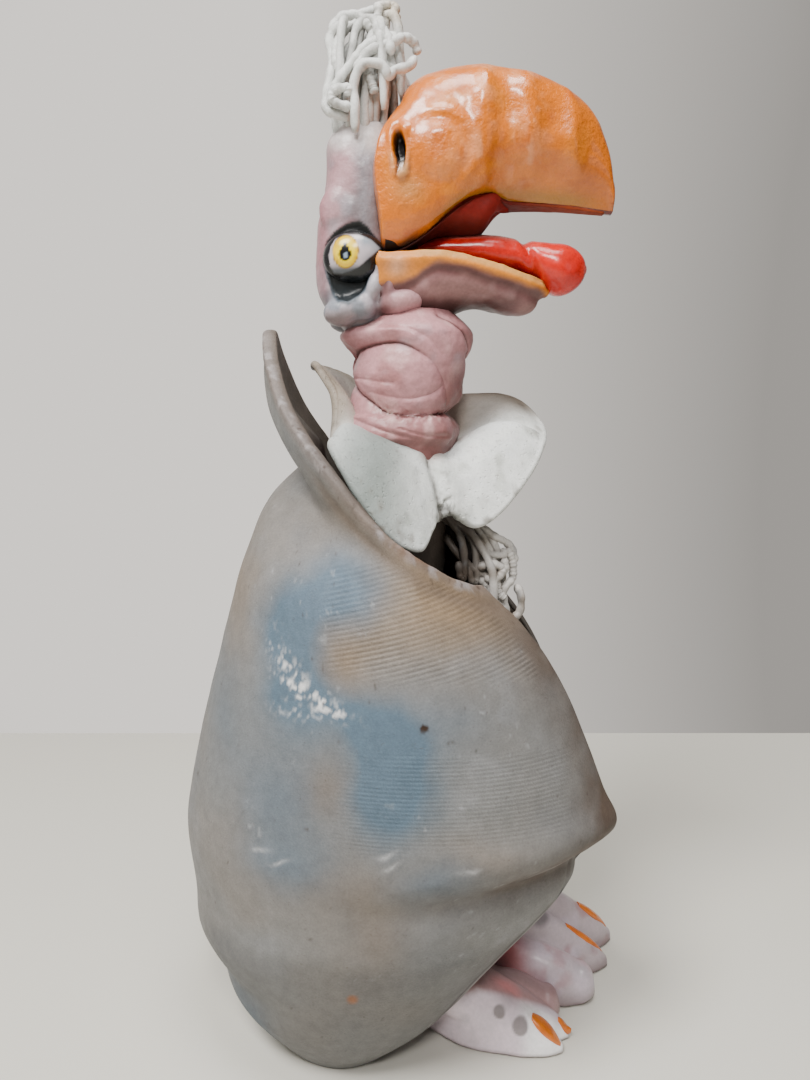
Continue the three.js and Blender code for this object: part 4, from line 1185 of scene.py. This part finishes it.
def far_foot_paint(points):
    x, y, z = points.T
    colours, coat, patches = painter(points, "b9abb0")
    coat("c9bcc8", 0.7 * patches(9, 153, 2, 0.0, 0.5))
    coat("a57c7e", 0.6 * patches(8, 154, 3, 0.1, 0.5))
    coat("b04d4e", 0.8 * spot(x - 36, (z - 18) * 0.7, 7) * ramp(y, 16, 8))
    coat("6c6668", 0.8 * ramp(np.hypot(x - 50, z - 26), 6, 3) * ramp(y, 26, 18))
    coat("75605f", 0.5 * ramp(z, 7, 1))
    coat("d8ccd8", 0.7 * spot(x - 63, (z - 8) * 0.8, 4.5) * ramp(y, 10, 2))
    return colours, coat, patches


def foot(name, toes, side, paint):
    lumps, claws = [], []
    for toe in toes:
        flesh, claw, turned = toe_place(toe)
        lumps.append(tube_skin(flesh, 40, 36, end=turned)[:2])
        if toe[5]:
            claws.append(tube_skin(claw, 36, 40)[:2])
    x0, y0, x1, y1, _, _ = toes[1]
    fx, fy = x0 * 0.7 + x1 * 0.3, y0 * 0.7 + y1 * 0.3
    top = np.array([-13.0, 16.0 * side, 42.0])

    def leg(share, angle, open_by):
        centre = np.array([fx, fy, 8.8]) * (1 - share[:, None]) + top * share[:, None]
        return centre + open_by[:, None] * xyz(0 * angle, 10.5 * np.cos(angle), 10.5 * np.sin(angle))

    lumps.append(tube_skin(leg, 30, 12)[:2])
    points, faces = melted(lumps, 0.6, 2)
    points = pushed(points, faces, 0.3 * noise(points, 6, 151, 2) + 0.06 * noise(points, 1.8, 152, 2))
    points[:, 2] = np.maximum(points[:, 2], 0.05)
    colours, coat, patches = paint(points)
    coat("9b9698", 0.35 * patches(7, 155, 2, 0.2, 0.6))
    coat("5d4343", 0.6 * ramp(points[:, 2], 2.2, 0.3))
    make(name, points, faces, FOOT, colours)
    points, faces = gathered(claws)
    points = pushed(points, faces, 0.1 * noise(points, 3, 156, 2))
    colours, coat, patches = painter(points, "d06c0e")
    coat("b9560f", 0.6 * patches(4, 157, 2, 0.0, 0.5))
    make(name + "_claws", points, faces, BEAK, colours)


# Pressed clay strands

def open_spline(knots, count):
    knots = np.array(knots, float)
    padded = np.concatenate([[2 * knots[0] - knots[1]], knots, [2 * knots[-1] - knots[-2]]])
    t = np.linspace(0, len(knots) - 1 - 1e-9, count)
    i = np.floor(t).astype(int)
    f = (t - i)[:, None]
    a, b, c, d = [padded[i + k] for k in range(4)]
    return curve_point(a, b, c, d, f)


def strand(knots, radius, seed, sides=10, steps=44):
    path = open_spline(knots, steps)
    path += 0.25 * np.stack([noise(path, 4, seed + k) for k in range(3)], -1)
    ahead = np.gradient(path, axis=0)
    ahead /= np.linalg.norm(ahead, axis=1, keepdims=True)
    up = np.cross(ahead[0], [0.3, 1, 0.2])
    rings = []
    for k in range(steps):
        up = up - ahead[k] * (up @ ahead[k])
        up /= np.linalg.norm(up)
        across = np.cross(ahead[k], up)
        end = min(k, steps - 1 - k)
        r = radius * (1 + 0.16 * math.sin(k * 0.9 + seed) * math.sin(k * 0.37 + seed * 2))
        r *= (0.55, 0.85)[end] if end < 2 else 1
        angles = np.arange(sides) / sides * 2 * np.pi
        rings.append(path[k] + r * (np.cos(angles)[:, None] * up + np.sin(angles)[:, None] * across))
    points = np.concatenate(rings + [[path[0], path[-1]]])
    return points, closed_tube(points, steps, sides)


CREST_NEAR = [
    [(-20, -9, 307), (-24, -10, 308), (-27, -10, 310), (-26, -9, 316), (-25, -7, 324), (-26, -5, 331),
     (-23, -3, 336)],
    [(-19, -12, 309), (-24, -12, 310), (-25, -12, 312), (-23, -12, 314), (-20, -12, 314), (-20, -12, 312)],
    [(-18, -12, 302), (-18, -12, 310), (-18, -12, 317), (-15, -12, 321), (-10, -12, 321), (-8, -11, 318),
     (-6, -10, 320), (-2, -8, 322), (0, -6, 325)],
    [(-14, -8, 321), (-13, -9, 317), (-12, -9, 314)],
    [(-23, -9, 320), (-24, -8, 325), (-23, -6, 330), (-21, -4, 334), (-17, -3, 336)],
    [(-25, -11, 314), (-22, -11, 318), (-18, -10, 323), (-15, -9, 327), (-11, -8, 329), (-9, -6, 332)],
    [(-18, -11, 320), (-14, -10, 325), (-10, -9, 327), (-6, -8, 329), (-3, -6, 331), (0, -4, 330),
     (1, -3, 327)],
    [(-26, -2, 334), (-23, 0, 339), (-18, 1, 340), (-14, 1, 341), (-10, 2, 342), (-7, 2, 341), (-5, 1, 339)],
    [(-12, -3, 335), (-11, -3, 339), (-11, -2, 341), (-8, -1, 342), (-6, -1, 341), (-7, -2, 338)],
    [(-17, -4, 338), (-15, -6, 335), (-13, -6, 333), (-11, -6, 335), (-12, -5, 337)],
]
CHEST_NEAR = [
    [(14, -4, 182), (21, -6, 182), (27, -6, 178), (32, -5, 175), (34, -4, 169)],
    [(11, -6, 182), (17, -8, 176), (23, -8, 173), (29, -7, 172), (30, -6, 174)],
    [(10, -8, 179), (15, -10, 172), (21, -10, 167), (27, -9, 165), (30, -8, 167), (30, -8, 171)],
    [(21, -11, 168), (25, -11, 170), (29, -10, 168), (27, -11, 165), (23, -11, 165)],
    [(33, -8, 164), (30, -9, 161), (30, -9, 156), (32, -8, 151), (35, -7, 152), (36, -7, 157),
     (34, -7, 162)],
    [(21, -10, 165), (25, -10, 161), (28, -9, 156), (31, -8, 152)],
    [(27, -10, 164), (28, -10, 160), (30, -10, 158)],
    [(31, -6, 174), (33, -6, 169), (33, -6, 163)],
]


def clay_core(name, skin, rough, seed, code):
    """A rough lump that holds the roots of the strands, painted near black as the shade among them."""
    points, faces = skin
    points = pushed(points, faces, rough * noise(points, 5, seed, 3))
    make(name, points, faces, CORE_SHADE, flat(len(points), code))


def crest():
    rng = np.random.default_rng(5)
    tubes = [strand(knots, STRAND_RADIUS * 1.05, 200 + k) for k, knots in enumerate(CREST_NEAR)]
    for k in range(30):
        turn = k / 30 * 2 * np.pi + rng.uniform(-0.1, 0.1)
        ring = rng.uniform(0.55, 1.0)
        out = np.array([math.cos(turn) * 9.5, math.sin(turn) * 9, 0]) * ring
        root = np.array([-16, 0, 301]) + out * 0.9
        height = rng.uniform(24, 38)
        over = np.array([rng.uniform(0, 5), rng.uniform(-3, 3), 0])
        bend = rng.uniform(0.25, 0.75)
        knots = [root, root + out * 0.2 + [0, 0, height * 0.4],
                 root + out * 0.1 + over * 0.4 + [0, 0, height * 0.85],
                 root - out * 0.1 + over + [0, 0, height], root + over * 1.8 + [0, 0, height * 0.92],
                 root + out * 0.2 + over * 1.9 + [0, 0, height * bend]]
        tubes.append(strand(knots, STRAND_RADIUS * rng.uniform(0.85, 1.1), 230 + k))
    points, faces = gathered(tubes)
    points[:, 2] = np.minimum(points[:, 2], 342.6)
    x, y, z = points.T
    inner = np.hypot((x + 15) / 9.5, y / 9.5)
    colours, coat, patches = painter(points, "d2d3d0")
    coat("9a9994", 0.65 * patches(5, 161, 3, 0.0, 0.5))
    # Painted shade among the strands in the middle of the crest.
    coat("413a33", 0.85 * ramp(inner, 0.95, 0.5) * ramp(z, 340, 328))
    coat("b9a586", 0.6 * ramp(z, 332, 340) * ramp(x, -14, -6))
    coat("4b433b", 0.5 * patches(3, 162, 2, 0.35, 0.7))
    make("crest", points, faces, CLAY, colours)
    clay_core("crest_core", egg((-16, 0, 315), (7.2, 6.2, 17), 0, steps=40), 1.2, 163, "1c1815")


def chest():
    rng = np.random.default_rng(11)
    tubes = [strand(knots, STRAND_RADIUS, 300 + k) for k, knots in enumerate(CHEST_NEAR)]
    for k in range(34):
        across = rng.uniform(-1, 1)
        root = np.array([8 + rng.uniform(-2, 3), across * 12, 190 - rng.uniform(0, 8)])
        reach = 24 - 8 * abs(across) - rng.uniform(0, 8)
        fall = rng.uniform(20, 37)
        lean = rng.uniform(-2, 2)
        knots = [root, root + [reach * 0.5, lean * 0.4, -5], root + [reach * 0.92, lean, -fall * 0.55],
                 root + [reach, lean, -fall], root + [reach * 0.85, lean * 1.5, -fall * 1.02],
                 root + [reach * 0.75, lean * 1.2, -fall * 0.8]]
        tubes.append(strand(knots, STRAND_RADIUS * rng.uniform(0.85, 1.1), 340 + k))
    points, faces = gathered(tubes)
    x = points[:, 0]
    colours, coat, patches = painter(points, "bdb9b4")
    coat("7f7264", 0.75 * patches(5, 171, 3, -0.1, 0.5))
    # Painted shade on the strands at the back of the tuft, next to the body.
    coat("3a2f26", 0.9 * ramp(x, 27, 17))
    coat("7a7f84", 0.4 * patches(4, 172, 2, 0.2, 0.6))
    make("chest_tuft", points, faces, CLAY, colours)
    clay_core("chest_core", egg((17, 0, 176), (8, 10, 16), -35, steps=40), 1.0, 173, "17120f")


wings()
belly()
neck()
collar()
head()
eyes()
beak()
palate()
throat()
jaw()
tongue()
foot("near_foot", NEAR_TOES, -1, near_foot_paint)
foot("far_foot", FAR_TOES, 1, far_foot_paint)
crest()
chest()


# Floor, light and camera, in metres

TABLE_REACH = 6.0
TABLE_BACK = 0.26
TABLE_GAP = 0.0002
PICTURE_HEIGHT = 1080
FOCAL_PIXELS = 811
FILM = 36
LOOK_DOWN = 9


def floor_material():
    material = bpy.data.materials.new("pale_table")
    material.use_nodes = True
    shader = material.node_tree.nodes["Principled BSDF"]
    shader.inputs["Base Color"].default_value = (*linear("d5d2c8"), 1)
    shader.inputs["Roughness"].default_value = 0.6
    return material


def floor():
    mesh = bpy.data.meshes.new("table")
    corners = [(-TABLE_REACH, -TABLE_REACH, 0), (TABLE_REACH, -TABLE_REACH, 0), (TABLE_REACH, TABLE_BACK, 0),
               (-TABLE_REACH, TABLE_BACK, 0)]
    mesh.from_pydata(corners, [], [(0, 1, 2, 3)])
    mesh.materials.append(floor_material())
    table = bpy.data.objects.new("table", mesh)
    bpy.context.scene.collection.objects.link(table)
    table.location.z = -TABLE_GAP


def light(name, place, aim, size, power, colour=(1, 1, 1)):
    data = bpy.data.lights.new(name, "AREA")
    data.shape = "DISK"
    data.size = size
    data.energy = power
    data.color = colour
    lamp = bpy.data.objects.new(name, data)
    lamp.location = place
    lamp.rotation_euler = (Vector(aim) - Vector(place)).to_track_quat("-Z", "Y").to_euler()
    bpy.context.scene.collection.objects.link(lamp)


floor()
light("window", (-0.42, -0.52, 1.12), (0, 0, 0.17), 0.42, 18.0, (1.0, 0.985, 0.96))
light("lamp", (0.03, -0.66, 0.8), (0.02, 0, 0.29), 0.17, 4.2, (1.0, 0.98, 0.96))
light("ceiling", (0.06, -0.2, 1.0), (0.02, 0, 0.3), 0.34, 5.0, (1.0, 0.99, 0.97))
light("left_fill", (-1.1, -0.5, 0.5), (0, 0, 0.18), 0.8, 2.4, (1.0, 0.98, 0.95))
light("right_fill", (1.0, -0.8, 0.5), (0, 0, 0.18), 0.6, 0.8, (0.97, 0.98, 1.0))


def pale_room():
    """Even light all round, and a brighter wall behind that falls off to the right."""
    world = bpy.data.worlds.new("room")
    world.use_nodes = True
    nodes, links = world.node_tree.nodes, world.node_tree.links
    place = nodes.new("ShaderNodeTexCoord")
    split = nodes.new("ShaderNodeSeparateXYZ")
    links.new(place.outputs["Generated"], split.inputs[0])
    parts = []
    for axis, low, high, new_low, new_high in (("Y", 0.35, 0.85, 0.2, 1.15), ("X", -0.15, 0.4, 1.0, 0.34)):
        scale = nodes.new("ShaderNodeMapRange")
        set_range(scale, low, high, new_low, new_high)
        links.new(split.outputs[axis], scale.inputs["Value"])
        parts.append(scale.outputs["Result"])
    product = nodes.new("ShaderNodeMath")
    product.operation = "MULTIPLY"
    for i, part in enumerate(parts):
        links.new(part, product.inputs[i])
    sky = nodes["Background"]
    sky.inputs["Color"].default_value = (1.0, 0.945, 0.88, 1)
    links.new(product.outputs[0], sky.inputs["Strength"])
    bpy.context.scene.world = world


pale_room()

camera_data = bpy.data.cameras.new("camera")
camera_data.sensor_fit = "VERTICAL"
camera_data.sensor_height = FILM
camera_data.sensor_width = FILM
camera_data.lens = FOCAL_PIXELS / PICTURE_HEIGHT * FILM
camera_data.clip_start = 0.01
camera = bpy.data.objects.new("camera", camera_data)
camera.location = (-0.0051, -0.272, 0.219)
camera.rotation_euler = (math.radians(90 - LOOK_DOWN), 0, 0)
bpy.context.scene.collection.objects.link(camera)
bpy.context.scene.camera = camera
